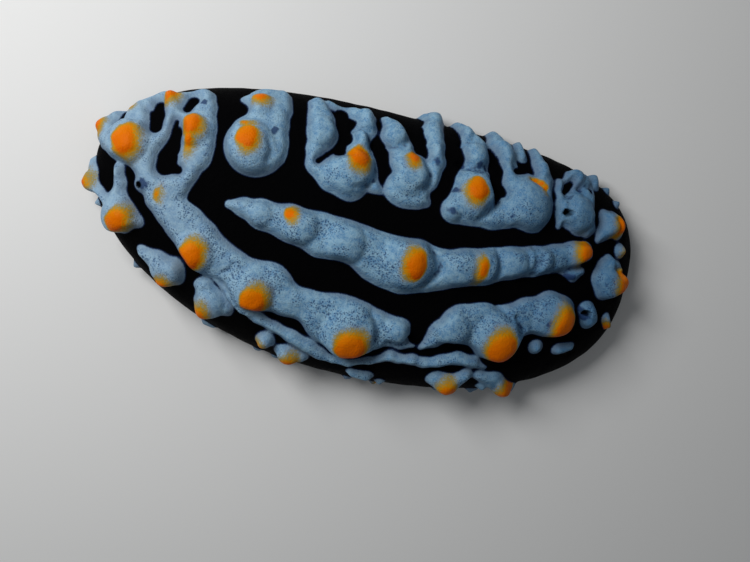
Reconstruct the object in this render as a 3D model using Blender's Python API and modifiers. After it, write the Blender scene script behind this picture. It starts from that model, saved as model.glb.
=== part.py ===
"""A wart slug, a sea slug of the genus Phyllidia, resting with its mantle spread, at life size.

Frame: +X towards the head, +Y towards the animal's left, +Z up. The origin is on the floor, under the
middle of the mantle. The midline bows a little to one side. Sizes are in millimetres, and each mesh is
turned into metres as it is made. A place on the back is given by two numbers: along, in mm from the
middle, and across, the share of the way over the back from the midline (0) to the left rim (1) or the
right rim (-1).
"""
import math

import bmesh
import bpy
import numpy as np
from mathutils import Matrix, Vector

MM = 0.001
GAP = 0.3

# Mantle: the broad leathery shield that covers the whole animal
HALF_LENGTH = 35.0
HALF_WIDTHS = {"left": 17.0, "right": 17.1}
MIDLINE_BOW = (-0.15, -0.034, 0.0023)
BACK_HEIGHT = 8.6
RIM_HEIGHT = 1.5
RIM_BOTTOM = 0.7
LIP_WIDTH = 1.4
CEILING_HEIGHT = 3.8
FLAT_CEILING = 0.70
END_RISE = 4.5
LEFT_ROUNDNESS = 2.15
RIGHT_ROUNDNESS = 2.6
LENGTH_ROUNDNESS = 2.6
PLAN_ROUNDNESS = {("left", "head"): 2.8, ("left", "tail"): 2.1,
                  ("right", "head"): 2.6, ("right", "tail"): 2.05}
MANTLE_RINGS = 220
MANTLE_COLUMNS = 240
MANTLE_TRIANGLES = 9600
MANTLE_NODES = ("mantle_tail", "mantle_rear", "mantle_middle", "mantle_fore", "mantle_head")
MANTLE_CUTS = (-22.3, -9.6, 6.9, 20.0)

# Pads, knobs and caps: the raised, spicule-stiffened parts of the back
PAD_HEIGHT = 0.75
PAD_EDGE = 1.1
PAD_BLEND = 0.5
SLOT_BLEND = 0.3
CROWN_RISE = 0.17
KNOB_RISE = 0.60
KNOB_ROUNDNESS = 0.75
CAP_RISE = 0.2
FAR_OUTSIDE = 3.0
TOP_SIDE = (-0.6, -0.1)
SMOOTHING_PASSES = 2

# Each pad is a chain of links joined one to the next: (along, across, radius)
PADS = {
    "median_ridge": [(-18.5, 0.04, 0.6), (-16.8, 0.05, 1.2), (-14.6, 0.04, 1.8), (-11.2, 0.04, 2.2),
                     (-7.3, 0.02, 2.6), (-5.6, 0.02, 2.5), (-3.9, 0.02, 2.4), (-2.3, 0.01, 2.5),
                     (-0.5, -0.02, 3.0), (1.6, -0.04, 3.2), (3.1, -0.04, 3.4), (4.4, -0.03, 3.4),
                     (6.1, -0.03, 2.8), (7.5, -0.02, 2.5), (10.2, 0.01, 2.4), (13.6, 0.05, 2.3),
                     (16.3, 0.09, 2.0), (19.3, 0.12, 1.9), (22.0, 0.16, 1.8), (24.5, 0.21, 1.7),
                     (25.9, 0.25, 1.5)],
    "median_flap": [(23.4, 0.10, 0.6), (25.1, 0.07, 0.9), (26.1, 0.10, 0.6)],
    "tail_right_ridge": [(-28.5, -0.03, 1.2), (-27.8, 0.02, 1.4), (-26.6, -0.07, 1.8),
                         (-25.0, -0.13, 2.0), (-22.9, -0.19, 2.4), (-21.2, -0.25, 2.6),
                         (-19.8, -0.30, 2.7), (-18.0, -0.32, 2.3), (-16.2, -0.33, 2.3),
                         (-14.2, -0.37, 3.1), (-12.2, -0.36, 3.1), (-10.1, -0.39, 2.3),
                         (-7.7, -0.39, 2.0), (-4.2, -0.43, 3.4), (-1.6, -0.45, 3.8), (1.1, -0.44, 2.8),
                         (3.0, -0.42, 1.9), (4.2, -0.41, 1.7), (5.1, -0.47, 0.7)],
    "right_ridge_fore": [(8.1, -0.47, 0.5), (8.9, -0.43, 1.1), (9.7, -0.37, 1.7), (11.7, -0.32, 2.5),
                         (14.4, -0.31, 2.9), (16.7, -0.37, 3.3), (17.7, -0.29, 2.6), (20.3, -0.23, 2.4),
                         (22.9, -0.22, 2.9), (24.0, -0.23, 2.8)],
    "right_strip": [(-18.3, -0.44, 0.4), (-16.4, -0.49, 0.7), (-14.7, -0.54, 0.8), (-12.6, -0.57, 0.8),
                    (-10.5, -0.58, 0.8), (-8.4, -0.61, 1.0), (-6.2, -0.64, 1.1), (-4.5, -0.67, 0.9),
                    (-2.6, -0.69, 0.7), (-0.5, -0.70, 0.6), (1.6, -0.67, 0.6), (3.5, -0.60, 0.9),
                    (5.1, -0.57, 1.0), (8.0, -0.58, 0.9), (10.5, -0.55, 1.0), (12.6, -0.52, 1.1),
                    (14.8, -0.55, 0.8), (16.6, -0.59, 0.4)],
    "right_margin_tail": [(-27.2, -0.57, 1.0), (-25.2, -0.56, 1.6), (-24.0, -0.56, 2.2)],
    "right_margin_rear": [(-19.6, -0.52, 1.3), (-18.4, -0.61, 2.1), (-16.7, -0.60, 1.2)],
    "right_margin_small": [(-11.2, -0.70, 1.4)],
    "right_margin_middle": [(-8.4, -0.74, 1.5), (-6.5, -0.74, 1.1)],
    "right_margin_shade": [(1.2, -0.77, 1.1)],
    "right_margin_shade_fore": [(4.3, -0.83, 0.8)],
    "right_margin_fore": [(11.0, -0.71, 1.5), (13.2, -0.73, 1.6), (14.4, -0.66, 1.1)],
    "right_margin_fore_small": [(17.5, -0.78, 0.9)],
    "right_margin_head": [(16.3, -0.66, 0.9), (18.3, -0.71, 1.4), (21.1, -0.87, 1.7)],
    "right_head_pads": [(22.5, -0.46, 1.1)],
    "right_head_far": [(25.8, -0.51, 0.9), (27.5, -0.52, 0.7)],
    "head_right": [(28.2, -0.21, 1.3), (28.9, -0.30, 1.3)],
    "head_right_far": [(31.8, -0.36, 0.9), (32.5, -0.49, 0.8)],
    "head_front": [(29.7, 0.24, 0.6), (29.6, 0.17, 1.3), (29.7, 0.08, 1.9), (30.3, 0.01, 1.9),
                   (31.8, 0.04, 1.8)],
    "head_front_left": [(31.5, 0.37, 1.1)],
    "head_left": [(27.7, 0.37, 0.5), (28.2, 0.43, 0.9), (28.9, 0.50, 1.5), (28.4, 0.58, 1.0),
                  (29.9, 0.61, 1.2), (30.4, 0.53, 1.4)],
    "tail_end": [(-34.9, -0.10, 0.6), (-34.6, -0.40, 1.0), (-34.4, -0.58, 1.3), (-33.4, -0.45, 0.7),
                 (-32.4, -0.44, 0.9)],
    "tail_right": [(-31.7, 0.02, 0.9), (-31.3, -0.12, 0.8), (-31.3, -0.27, 1.1), (-30.8, -0.42, 2.6),
                   (-28.6, -0.36, 1.0)],
    "tail_right_small": [(-33.6, -0.77, 0.6)],
    "left_tail": [(-34.3, 0.83, 1.3), (-33.6, 0.56, 2.1), (-31.5, 0.36, 2.7), (-29.5, 0.25, 2.2),
                  (-28.5, 0.13, 1.6), (-27.5, 0.01, 1.8)],
    "left_tail_edge": [(-34.3, 0.86, 1.0), (-33.6, 0.91, 1.0), (-31.0, 0.66, 1.2), (-30.6, 0.73, 1.0),
                       (-29.7, 0.46, 1.0), (-29.4, 0.33, 1.2)],
    "left_tail_arm": [(-31.7, 0.70, 1.0), (-30.6, 0.76, 0.9), (-28.0, 0.76, 1.5), (-27.0, 0.68, 1.6),
                      (-27.0, 0.50, 1.0), (-27.5, 0.38, 1.0), (-29.0, 0.26, 1.4)],
    "left_rear": [(-27.4, 0.78, 1.2), (-26.1, 0.75, 1.1), (-23.8, 0.75, 1.6), (-23.1, 0.66, 1.3),
                  (-23.4, 0.51, 2.0), (-23.3, 0.39, 1.9), (-23.3, 0.29, 1.8), (-24.2, 0.17, 1.8),
                  (-25.2, 0.05, 2.0), (-25.9, -0.05, 2.1)],
    "left_rear_slot_side": [(-26.5, 0.66, 1.0), (-25.1, 0.55, 1.0), (-23.5, 0.51, 1.9)],
    "left_first": [(-17.0, 0.75, 1.8), (-15.9, 0.69, 2.4), (-15.9, 0.59, 2.6), (-16.6, 0.47, 3.6),
                   (-16.8, 0.44, 3.8)],
    "left_first_edge": [(-18.8, 0.76, 0.7), (-17.0, 0.77, 1.8), (-14.7, 0.82, 1.2), (-14.2, 0.70, 1.1)],
    "left_second": [(-10.4, 0.81, 1.2), (-9.7, 0.69, 1.7), (-9.3, 0.60, 1.9), (-9.6, 0.50, 1.4),
                    (-9.1, 0.42, 1.7), (-7.2, 0.37, 2.1), (-5.4, 0.38, 2.8), (-4.1, 0.44, 2.1),
                    (-2.3, 0.36, 0.8), (-1.4, 0.34, 0.4)],
    "left_second_edge": [(-9.1, 0.83, 0.6), (-7.6, 0.80, 0.6), (-5.8, 0.79, 1.0), (-4.4, 0.78, 1.3),
                         (-4.1, 0.70, 1.2), (-4.9, 0.62, 1.3), (-4.7, 0.54, 1.7)],
    "left_third": [(-1.8, 0.80, 0.7), (-0.9, 0.76, 1.3), (-0.6, 0.69, 1.7), (0.3, 0.62, 1.6),
                   (0.9, 0.54, 1.8), (2.6, 0.55, 1.3), (2.2, 0.46, 2.3), (1.9, 0.41, 2.8)],
    "left_third_low": [(0.6, 0.37, 1.7), (3.0, 0.36, 1.5), (4.4, 0.34, 0.5)],
    "left_third_edge": [(3.7, 0.97, 1.2), (4.9, 0.97, 1.3), (4.4, 0.80, 1.2), (4.7, 0.71, 1.1),
                        (4.9, 0.59, 1.2), (3.9, 0.48, 1.7)],
    "left_fourth": [(7.8, 0.96, 1.0), (8.6, 0.90, 1.2), (9.9, 0.73, 1.9), (10.0, 0.62, 1.6),
                    (9.8, 0.52, 2.3), (10.0, 0.42, 2.9), (7.8, 0.33, 1.5), (12.6, 0.37, 2.2)],
    "left_fifth": [(12.7, 0.96, 1.2), (13.1, 0.76, 1.9), (13.9, 0.69, 1.4), (14.6, 0.61, 1.5),
                   (16.7, 0.55, 2.6), (17.3, 0.46, 3.3), (14.7, 0.38, 1.7), (12.6, 0.37, 2.2)],
    "left_fifth_edge": [(18.0, 0.89, 0.9), (18.6, 0.75, 1.2), (19.1, 0.67, 1.2), (18.7, 0.54, 1.8)],
    "left_fifth_small": [(15.9, 0.91, 0.8), (16.1, 0.78, 0.8)],
    "left_sixth": [(21.4, 0.69, 0.6), (21.4, 0.62, 0.55), (21.8, 0.53, 0.7), (22.0, 0.46, 0.9),
                   (21.7, 0.38, 0.5)],
    "left_sixth_dome": [(23.0, 0.46, 1.3), (24.2, 0.51, 2.2), (24.7, 0.46, 1.9), (25.4, 0.51, 1.5),
                        (25.9, 0.44, 1.2), (25.8, 0.39, 0.7)],
    "left_sixth_edge": [(22.0, 0.70, 0.6), (23.4, 0.77, 1.3), (24.9, 0.80, 1.1), (25.5, 0.71, 1.2),
                        (25.2, 0.60, 1.6)],
    "left_sixth_fill": [(23.7, 0.64, 1.2), (22.5, 0.58, 1.0), (22.1, 0.54, 0.9)],
    "left_seventh": [(27.2, 0.94, 1.0), (26.8, 0.82, 0.9)],
    "left_head_small": [(29.1, 0.90, 0.8)],
    "left_head_last": [(30.5, 0.82, 0.7)],
}

# Black slots and holes in the pads, in the same form
SLOTS = {
    "tail_first_slot": [(-32.4, 0.78, 0.3), (-32.7, 0.64, 0.4)],
    "tail_second_slot": [(-28.5, 0.71, 0.5), (-28.5, 0.59, 0.8), (-28.4, 0.48, 0.7)],
    "tail_third_slot": [(-24.7, 0.72, 0.6), (-25.2, 0.65, 0.5)],
    "tail_wedge": [(-26.1, 0.53, 0.2), (-26.1, 0.36, 0.5), (-26.4, 0.23, 1.1), (-26.4, 0.17, 1.0),
                   (-25.0, 0.16, 0.5)],
    "second_slot": [(-7.4, 0.76, 0.8), (-6.8, 0.68, 0.7), (-6.5, 0.60, 0.7), (-7.3, 0.53, 0.4),
                    (-8.4, 0.48, 0.3), (-9.3, 0.43, 0.3)],
    "third_slot": [(1.7, 0.93, 0.4), (2.3, 0.79, 0.65), (2.6, 0.71, 0.75), (2.4, 0.65, 0.5)],
    "fourth_slot": [(11.6, 0.77, 0.2), (12.2, 0.70, 0.4), (12.7, 0.63, 0.7), (13.1, 0.54, 0.4),
                    (13.3, 0.48, 0.3), (13.2, 0.43, 0.1)],
    "fifth_slot": [(15.4, 0.67, 0.5), (16.3, 0.69, 0.5)],
    "sixth_slot": [(23.0, 0.71, 0.26), (22.5, 0.67, 0.38), (22.1, 0.63, 0.28)],
    "sixth_notch": [(26.0, 0.73, 0.3)],
}

# Domes on the pads: (along, across, radius)
KNOBS = [
    (-30.9, 0.32, 2.7), (-33.9, 0.74, 1.2), (-24.0, 0.46, 2.0), (-27.3, 0.74, 1.0), (-34.4, -0.55, 1.3),
    (-30.4, -0.42, 2.3), (-31.4, -0.02, 0.8), (-21.4, -0.33, 2.6), (-14.2, -0.42, 3.0),
    (-1.6, -0.48, 3.7), (4.0, -0.40, 1.8), (-17.6, 0.41, 3.3), (-17.0, 0.69, 1.7), (-9.6, 0.60, 2.0),
    (-5.6, 0.40, 3.2), (-4.5, 0.75, 1.5), (-4.8, 0.61, 1.3), (1.6, 0.43, 3.0), (-0.6, 0.71, 1.7),
    (1.8, 0.55, 1.3), (4.7, 0.93, 1.3), (4.5, 0.65, 1.2), (9.8, 0.71, 1.8), (9.9, 0.44, 3.0),
    (8.5, 0.84, 1.1), (7.4, 0.31, 1.4), (16.8, 0.45, 3.2), (13.1, 0.75, 1.8), (18.5, 0.71, 1.3),
    (24.2, 0.51, 2.5), (23.5, 0.77, 1.3), (29.2, 0.52, 1.8), (30.5, 0.02, 2.3), (30.3, 0.21, 1.2),
    (28.2, -0.23, 1.7), (31.2, 0.06, 1.9), (3.5, -0.01, 3.4), (-10.0, 0.04, 2.3), (-4.5, 0.01, 2.6),
    (10.0, 0.02, 2.5), (12.6, 0.04, 2.2), (16.6, 0.09, 2.0), (19.8, 0.13, 1.9), (24.9, 0.23, 1.8),
    (-14.8, 0.04, 1.6), (16.8, -0.38, 3.5), (23.4, -0.24, 3.1), (10.8, -0.34, 2.3), (-23.8, -0.54, 2.3),
    (-18.7, -0.62, 2.1), (-8.1, -0.73, 1.5), (-11.2, -0.68, 1.3), (12.4, -0.74, 1.7), (20.2, -0.77, 1.7),
    (-9.4, -0.39, 2.1),
]

# Orange caps: (along, across, half length, half breadth)
CAPS = [
    (-34.5, -0.57, 0.70, 0.95), (-34.2, 0.74, 0.90, 1.10), (-30.6, 0.30, 1.38, 1.76),
    (-31.4, 0.75, 0.37, 0.33), (-27.1, 0.75, 0.80, 0.98), (-24.0, 0.48, 1.19, 1.34),
    (-24.1, 0.37, 0.53, 1.06), (-30.0, -0.41, 1.21, 1.39), (-26.5, -0.05, 0.36, 0.62),
    (-21.4, -0.33, 1.47, 1.75), (-13.5, -0.43, 1.65, 1.78), (-17.7, 0.44, 1.28, 1.35),
    (-18.2, 0.53, 0.59, 0.33), (-17.0, 0.72, 0.96, 0.72), (-11.4, 0.09, 0.70, 0.76),
    (-1.3, -0.51, 2.04, 1.93), (-4.7, 0.48, 1.35, 1.57), (1.8, 0.555, 0.82, 1.05),
    (4.0, -0.01, 1.41, 1.88), (9.8, 0.45, 1.39, 1.52), (17.7, 0.625, 0.50, 0.38),
    (18.3, 0.61, 0.50, 0.42), (18.9, 0.58, 0.45, 0.55), (12.4, 0.03, 0.73, 1.48),
    (25.6, 0.24, 1.45, 1.50), (30.0, 0.54, 0.95, 1.45), (31.8, 0.05, 1.45, 1.70),
    (32.1, 0.37, 0.50, 0.60), (16.9, -0.41, 1.92, 2.28), (24.3, -0.28, 1.55, 2.45),
    (-24.0, -0.64, 1.09, 1.13), (-19.1, -0.68, 1.09, 1.46), (-11.7, -0.73, 0.62, 0.66),
    (-7.8, -0.77, 1.12, 1.25), (4.7, -0.89, 0.72, 0.61), (12.4, -0.73, 1.22, 1.11),
    (20.4, -0.79, 1.39, 1.32), (31.9, -0.46, 0.67, 0.72),
]

# Pits in the back: the two pockets that the rhinophores draw into, and the anus
RHINOPHORE_PLACES = {"rhinophore_left": (22.2, 0.47), "rhinophore_right": (27.6, -0.21)}
POCKET_RADIUS = 0.7
POCKET_DEPTH = 2.4
POCKET_OVERSHOOT = 4.0
RHINOPHORE_RADIUS = 0.4
RHINOPHORE_RINGS = 4
RHINOPHORE_STALK_SHARE = 0.25
RHINOPHORE_CLUB_SHARE = 0.65
RHINOPHORE_SINK = 0.7
ANUS_PLACE = (-28.9, -0.05)
ANUS_RADIUS = 0.5
ANUS_DEPTH = 1.2
PIT_SIDES = 10

# Foot, head and their feelers, under the mantle
FOOT_MIDDLE = -1.5
FOOT_HALF_LENGTH = 28.0
FOOT_HALF_WIDTH = 9.0
FOOT_ROUNDNESS = 2.6
FOOT_TOP = CEILING_HEIGHT - GAP
FOOT_LAYERS = ((0.0, 0.30), (0.35, 0.0), (0.9, 0.15), (1.5, 0.9), (FOOT_TOP, 0.9))
FOOT_FRONT = 25.6
FOOT_SIDES = 72
HEAD_MIDDLE = (26.9, 0.6)
HEAD_REACH = (3.1, 3.7)
HEAD_LAYERS = ((0.5, 0.9), (0.8, 0.35), (1.6, 0.0), (2.5, 0.1), (FOOT_TOP, 0.7))
HEAD_SIDES = 28
HEAD_ROUNDNESS = 2.2
MOUTH_RADIUS = 0.55
MOUTH_DEPTH = 0.7
MOUTH_HEIGHT = 1.3
TENTACLE_ANGLE = math.radians(42.0)
TENTACLE_ROOT = 2.5
TENTACLE_LENGTH = 2.7
TENTACLE_RADIUS = 0.95
TENTACLE_TIP_RADIUS = 0.52
TENTACLE_ROUNDING = 0.33
TENTACLE_SIDES = 12
TENTACLE_HEIGHT = 1.9

# Gills: a row of leaflets along each side, between the foot and the mantle
GILL_BAND_THICKNESS = 1.0
GILL_BAND_HEIGHTS = (1.9, FOOT_TOP)
GILL_SPAN = (-24.5, 21.0)
GILL_BAND_STEPS = 30
LEAFLET_PITCH = 1.3
LEAFLET_THICKNESS = 0.6
LEAFLET_REACH = 1.7
LEAFLET_SUNK = 0.6
LEAFLET_HEIGHTS = (2.0, 3.2)
LEAFLET_TIP_HEIGHTS = (1.2, 1.9)
LEAFLET_SEED = 11


def material(name, colour, roughness):
    """A plain finish for one kind of tissue."""
    finish = bpy.data.materials.new(name)
    finish.use_nodes = True
    shader = finish.node_tree.nodes["Principled BSDF"]
    shader.inputs["Base Color"].default_value = (*colour, 1.0)
    shader.inputs["Roughness"].default_value = roughness
    shader.inputs["Metallic"].default_value = 0.0
    return finish


def add_object(name, mesh, finish, collection):
    """Put a finished mesh in the scene as one named piece."""
    piece = bpy.data.objects.new(name, mesh)
    mesh.materials.clear()
    mesh.materials.append(finish)
    collection.objects.link(piece)
    return piece


def mesh_from(bm, name):
    """Turn a bmesh in millimetres into a mesh in metres."""
    bmesh.ops.scale(bm, vec=(MM, MM, MM), verts=bm.verts)
    mesh = bpy.data.meshes.new(name)
    bm.to_mesh(mesh)
    bm.free()
    return mesh


def evaluated_mesh(piece, name):
    """The piece's mesh with its modifiers applied; the piece itself is then removed."""
    graph = bpy.context.evaluated_depsgraph_get()
    mesh = bpy.data.meshes.new_from_object(piece.evaluated_get(graph))
    mesh.name = name
    bpy.data.objects.remove(piece)
    return mesh


def keep_largest(bm):
    """Drop every closed surface but the largest one."""
    groups = []
    seen = set()
    for start in bm.faces:
        if start in seen:
            continue
        group = [start]
        seen.add(start)
        for face in group:
            for edge in face.edges:
                for other in edge.link_faces:
                    if other not in seen:
                        seen.add(other)
                        group.append(other)
        groups.append(group)
    groups.sort(key=lambda group: sum(face.calc_area() for face in group))
    loose = [face for group in groups[:-1] for face in group]
    bmesh.ops.delete(bm, geom=loose, context="FACES")


def cut_flat(bm, point, normal):
    """Cut away what lies on the normal's side of a plane and close the cut with a flat face."""
    geometry = bm.verts[:] + bm.edges[:] + bm.faces[:]
    cut = bmesh.ops.bisect_plane(bm, geom=geometry, dist=0.02 * MM, plane_co=point, plane_no=normal,
                                 clear_outer=True)
    edges = [item for item in cut["geom_cut"] if isinstance(item, bmesh.types.BMEdge)]
    bmesh.ops.triangle_fill(bm, use_beauty=True, edges=edges)
    bmesh.ops.recalc_face_normals(bm, faces=bm.faces)


# Back and underside of the bare mantle

def smooth_step(value):
    value = np.clip(value, 0.0, 1.0)
    return value * value * (3.0 - 2.0 * value)


def half_width(along, side):
    """Distance from the midline to the rim."""
    power = PLAN_ROUNDNESS[(side, "head" if along > 0 else "tail")]
    return HALF_WIDTHS[side] * max(1.0 - abs(along / HALF_LENGTH) ** power, 0.0) ** (1.0 / power)


def midline(along):
    """The bowed line that the body's sections are centred on."""
    return MIDLINE_BOW[0] + MIDLINE_BOW[1] * along + MIDLINE_BOW[2] * along ** 2


def end_taper(along):
    """1 along the body, falling to 0 in a round end."""
    return max(1.0 - abs(along / HALF_LENGTH) ** LENGTH_ROUNDNESS, 0.0) ** (1.0 / LENGTH_ROUNDNESS)


def back_section(along, across):
    """Points over the back at one place along it, for an array of places across."""
    turn = np.linspace(0.0, np.pi / 2, 121)
    y = np.zeros(len(across))
    z = np.zeros(len(across))
    for side, sign, power in (("left", 1.0, LEFT_ROUNDNESS), ("right", -1.0, RIGHT_ROUNDNESS)):
        curve_y = half_width(along, side) * np.sin(turn) ** (2.0 / power)
        curve_z = BACK_HEIGHT * end_taper(along) * np.cos(turn) ** (2.0 / power)
        length = np.concatenate([[0.0], np.cumsum(np.hypot(np.diff(curve_y), np.diff(curve_z)))])
        share = length / max(length[-1], 1e-9)
        chosen = across * sign >= 0.0
        y[chosen] = sign * np.interp(np.abs(across[chosen]), share, curve_y)
        z[chosen] = np.interp(np.abs(across[chosen]), share, curve_z)
    return np.stack([np.full(len(across), along), midline(along) + y, RIM_HEIGHT + z], axis=1)


def underside_section(along, across):
    """Points under the mantle: a rolled lip at the rim, then a slope up to a flat ceiling."""
    rise = float(smooth_step((HALF_LENGTH - abs(along)) / END_RISE))
    rim_bottom = RIM_HEIGHT - (RIM_HEIGHT - RIM_BOTTOM) * end_taper(along)
    ceiling = rim_bottom + (CEILING_HEIGHT - rim_bottom) * rise
    y = np.zeros(len(across))
    z = np.zeros(len(across))
    for side, sign in (("left", 1.0), ("right", -1.0)):
        width = half_width(along, side)
        lip = min(LIP_WIDTH, 0.3 * width) + 1e-6
        chosen = across * sign >= 0.0
        out = width * np.sin(np.abs(across[chosen]) * np.pi / 2)
        inside = width - lip - out
        slope = rim_bottom + (ceiling - rim_bottom) * smooth_step(
            inside / max(width - lip - FLAT_CEILING * width, 1e-6))
        round_lip = RIM_HEIGHT - (RIM_HEIGHT - rim_bottom) * np.sqrt(
            np.clip(1.0 - (np.maximum(-inside, 0.0) / lip) ** 2, 0.0, 1.0))
        y[chosen] = sign * out
        z[chosen] = np.where(inside >= 0.0, slope, round_lip)
    return np.stack([np.full(len(across), along), midline(along) + y, z], axis=1)


def place_on_back(along, across):
    """One point of the bare back."""
    return back_section(along, np.array([across]))[0]


# Relief of the back

def link_distance(points, start, end, start_radius, end_radius):
    """Distance from the axis of a link between two knobs, and the link's radius there."""
    step = end - start
    share = np.clip((points - start) @ step / max(step @ step, 1e-9), 0.0, 1.0)
    nearest = start + share[:, None] * step
    return np.linalg.norm(points - nearest, axis=1), start_radius + share * (end_radius - start_radius)


def smooth_union(first, second, width):
    """The nearer of two distances, with the crease between them filled."""
    blend = np.clip(0.5 + 0.5 * (second - first) / width, 0.0, 1.0)
    return second + (first - second) * blend - width * blend * (1.0 - blend)


def close_to(points, centres, reach):
    """The points within reach of the box round some centres."""
    low = np.min(centres, axis=0) - reach
    high = np.max(centres, axis=0) + reach
    return np.flatnonzero(np.all((points > low) & (points < high), axis=1))


def chained(points, chains, width):
    """Distance outside the nearest of some chains, and how high a rounded crown stands on them."""
    outside = np.full(len(points), FAR_OUTSIDE)
    crown = np.zeros(len(points))
    for links in chains.values():
        centres = [place_on_back(along, across) for along, across, _ in links]
        radii = [radius for _, _, radius in links]
        for first in range(max(len(links) - 1, 1)):
            last = min(first + 1, len(links) - 1)
            reach = max(radii[first], radii[last]) + FAR_OUTSIDE
            near = close_to(points, [centres[first], centres[last]], reach)
            distance, radius = link_distance(points[near], centres[first], centres[last],
                                             radii[first], radii[last])
            outside[near] = smooth_union(outside[near], distance - radius, width)
            rise = radius * np.clip(1.0 - (distance / radius) ** 2, 0.0, 1.0)
            crown[near] = np.maximum(crown[near], rise)
    return outside, crown


def relief(points):
    """Height of the pads, knobs and caps over the bare back at each point."""
    outside, crown = chained(points, PADS, PAD_BLEND)
    slot_outside, _ = chained(points, SLOTS, SLOT_BLEND)
    outside = np.maximum(outside, -slot_outside)
    bumps = CROWN_RISE * crown
    for along, across, radius in KNOBS:
        inside = 1.0 - np.sum((points - place_on_back(along, across)) ** 2, axis=1) / radius ** 2
        dome = np.clip(inside, 0.0, 1.0) ** KNOB_ROUNDNESS
        bumps = np.maximum(bumps, KNOB_RISE * radius * dome)
    caps = np.zeros(len(points))
    for along, across, half_along, half_across in CAPS:
        offset = points - place_on_back(along, across)
        crosswise = np.linalg.norm(offset[:, 1:], axis=1)
        inside = 1.0 - (offset[:, 0] / half_along) ** 2 - (crosswise / half_across) ** 2
        caps = np.maximum(caps, CAP_RISE * np.sqrt(np.clip(inside, 0.0, 1.0)))
    edge = np.clip(-outside / PAD_EDGE, 0.0, 1.0)
    return (PAD_HEIGHT + bumps + caps) * np.sin(edge * np.pi / 2)


def whole_mantle(finish, collection):
    """The mantle in one piece: a sphere drawn out to the shield's shape, with its relief raised."""
    bm = bmesh.new()
    bmesh.ops.create_uvsphere(bm, u_segments=MANTLE_COLUMNS, v_segments=MANTLE_RINGS, radius=1.0)
    rings = {}
    for vert in bm.verts:
        rings.setdefault(round(vert.co.z, 5), []).append(vert)
    for height, ring in rings.items():
        along = HALF_LENGTH * height
        if len(ring) == 1:
            ring[0].co = (along, midline(along), RIM_HEIGHT)
            continue
        turn = np.array([math.atan2(vert.co.y, vert.co.x) for vert in ring]) / math.pi
        over = turn >= 0.0
        across = np.where(over, 1.0 - 2.0 * turn, 1.0 + 2.0 * turn)
        places = np.where(over[:, None], back_section(along, across), underside_section(along, across))
        for vert, place in zip(ring, places):
            vert.co = place
    bm.normal_update()
    points = np.array([vert.co[:] for vert in bm.verts])
    normals = np.array([vert.normal[:] for vert in bm.verts])
    facing_up = smooth_step((normals[:, 2] - TOP_SIDE[0]) / (TOP_SIDE[1] - TOP_SIDE[0]))
    raised = points + normals * (relief(points) * facing_up)[:, None]
    for vert, place in zip(bm.verts, raised):
        vert.co = place
    bmesh.ops.triangulate(bm, faces=bm.faces)
    triangles = len(bm.faces)
    mantle = add_object("mantle_whole", mesh_from(bm, "mantle_whole"), finish, collection)
    soften = mantle.modifiers.new("soften", "SMOOTH")
    soften.iterations = SMOOTHING_PASSES
    thin = mantle.modifiers.new("fewer_faces", "DECIMATE")
    thin.ratio = MANTLE_TRIANGLES / triangles
    mesh = evaluated_mesh(mantle, "mantle_whole")
    return add_object("mantle_whole", mesh, finish, collection)


def pit_cutter(name, place, radius, depth, collection):
    """An upright round cutter that reaches depth below the bare back."""
    centre = place_on_back(*place)
    middle = Matrix.Translation(centre + [0, 0, (POCKET_OVERSHOOT - depth) / 2])
    bm = bmesh.new()
    bmesh.ops.create_cone(bm, cap_ends=True, segments=PIT_SIDES, radius1=radius, radius2=radius,
                          depth=depth + POCKET_OVERSHOOT, matrix=middle)
    cutter = bpy.data.objects.new(name, mesh_from(bm, name))
    collection.objects.link(cutter)
    cutter.hide_render = True
    cutter.display_type = "WIRE"
    return cutter


def cut_pits(mantle, collection):
    """Sink the rhinophore pockets and the anus into the mantle."""
    pits = [(name + "_pocket", place, POCKET_RADIUS, POCKET_DEPTH)
            for name, place in RHINOPHORE_PLACES.items()]
    pits.append(("anus", ANUS_PLACE, ANUS_RADIUS, ANUS_DEPTH))
    for name, place, radius, depth in pits:
        cutter = pit_cutter(name, place, radius, depth, collection)
        cut = mantle.modifiers.new(name, "BOOLEAN")
        cut.operation = "DIFFERENCE"
        cut.object = cutter


def mantle_lengths(whole, finish, collection):
    """Part the mantle into lengths with thin cuts."""
    ends = (-HALF_LENGTH - 5.0, *MANTLE_CUTS, HALF_LENGTH + 5.0)
    for name, rear, fore in zip(MANTLE_NODES, ends[:-1], ends[1:]):
        bm = bmesh.new()
        bm.from_mesh(whole)
        cut_flat(bm, ((rear + GAP / 2) * MM, 0, 0), (-1, 0, 0))
        cut_flat(bm, ((fore - GAP / 2) * MM, 0, 0), (1, 0, 0))
        keep_largest(bm)
        mesh = bpy.data.meshes.new(name)
        bm.to_mesh(mesh)
        bm.free()
        add_object(name, mesh, finish, collection)


# Under the mantle

def super_ellipse(turn, reach_along, reach_across, roundness):
    """A point on a rounded plan outline."""
    along = reach_along * abs(math.cos(turn)) ** (2.0 / roundness) * math.copysign(1.0, math.cos(turn))
    across = reach_across * abs(math.sin(turn)) ** (2.0 / roundness) * math.copysign(1.0, math.sin(turn))
    return along, across


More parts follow.
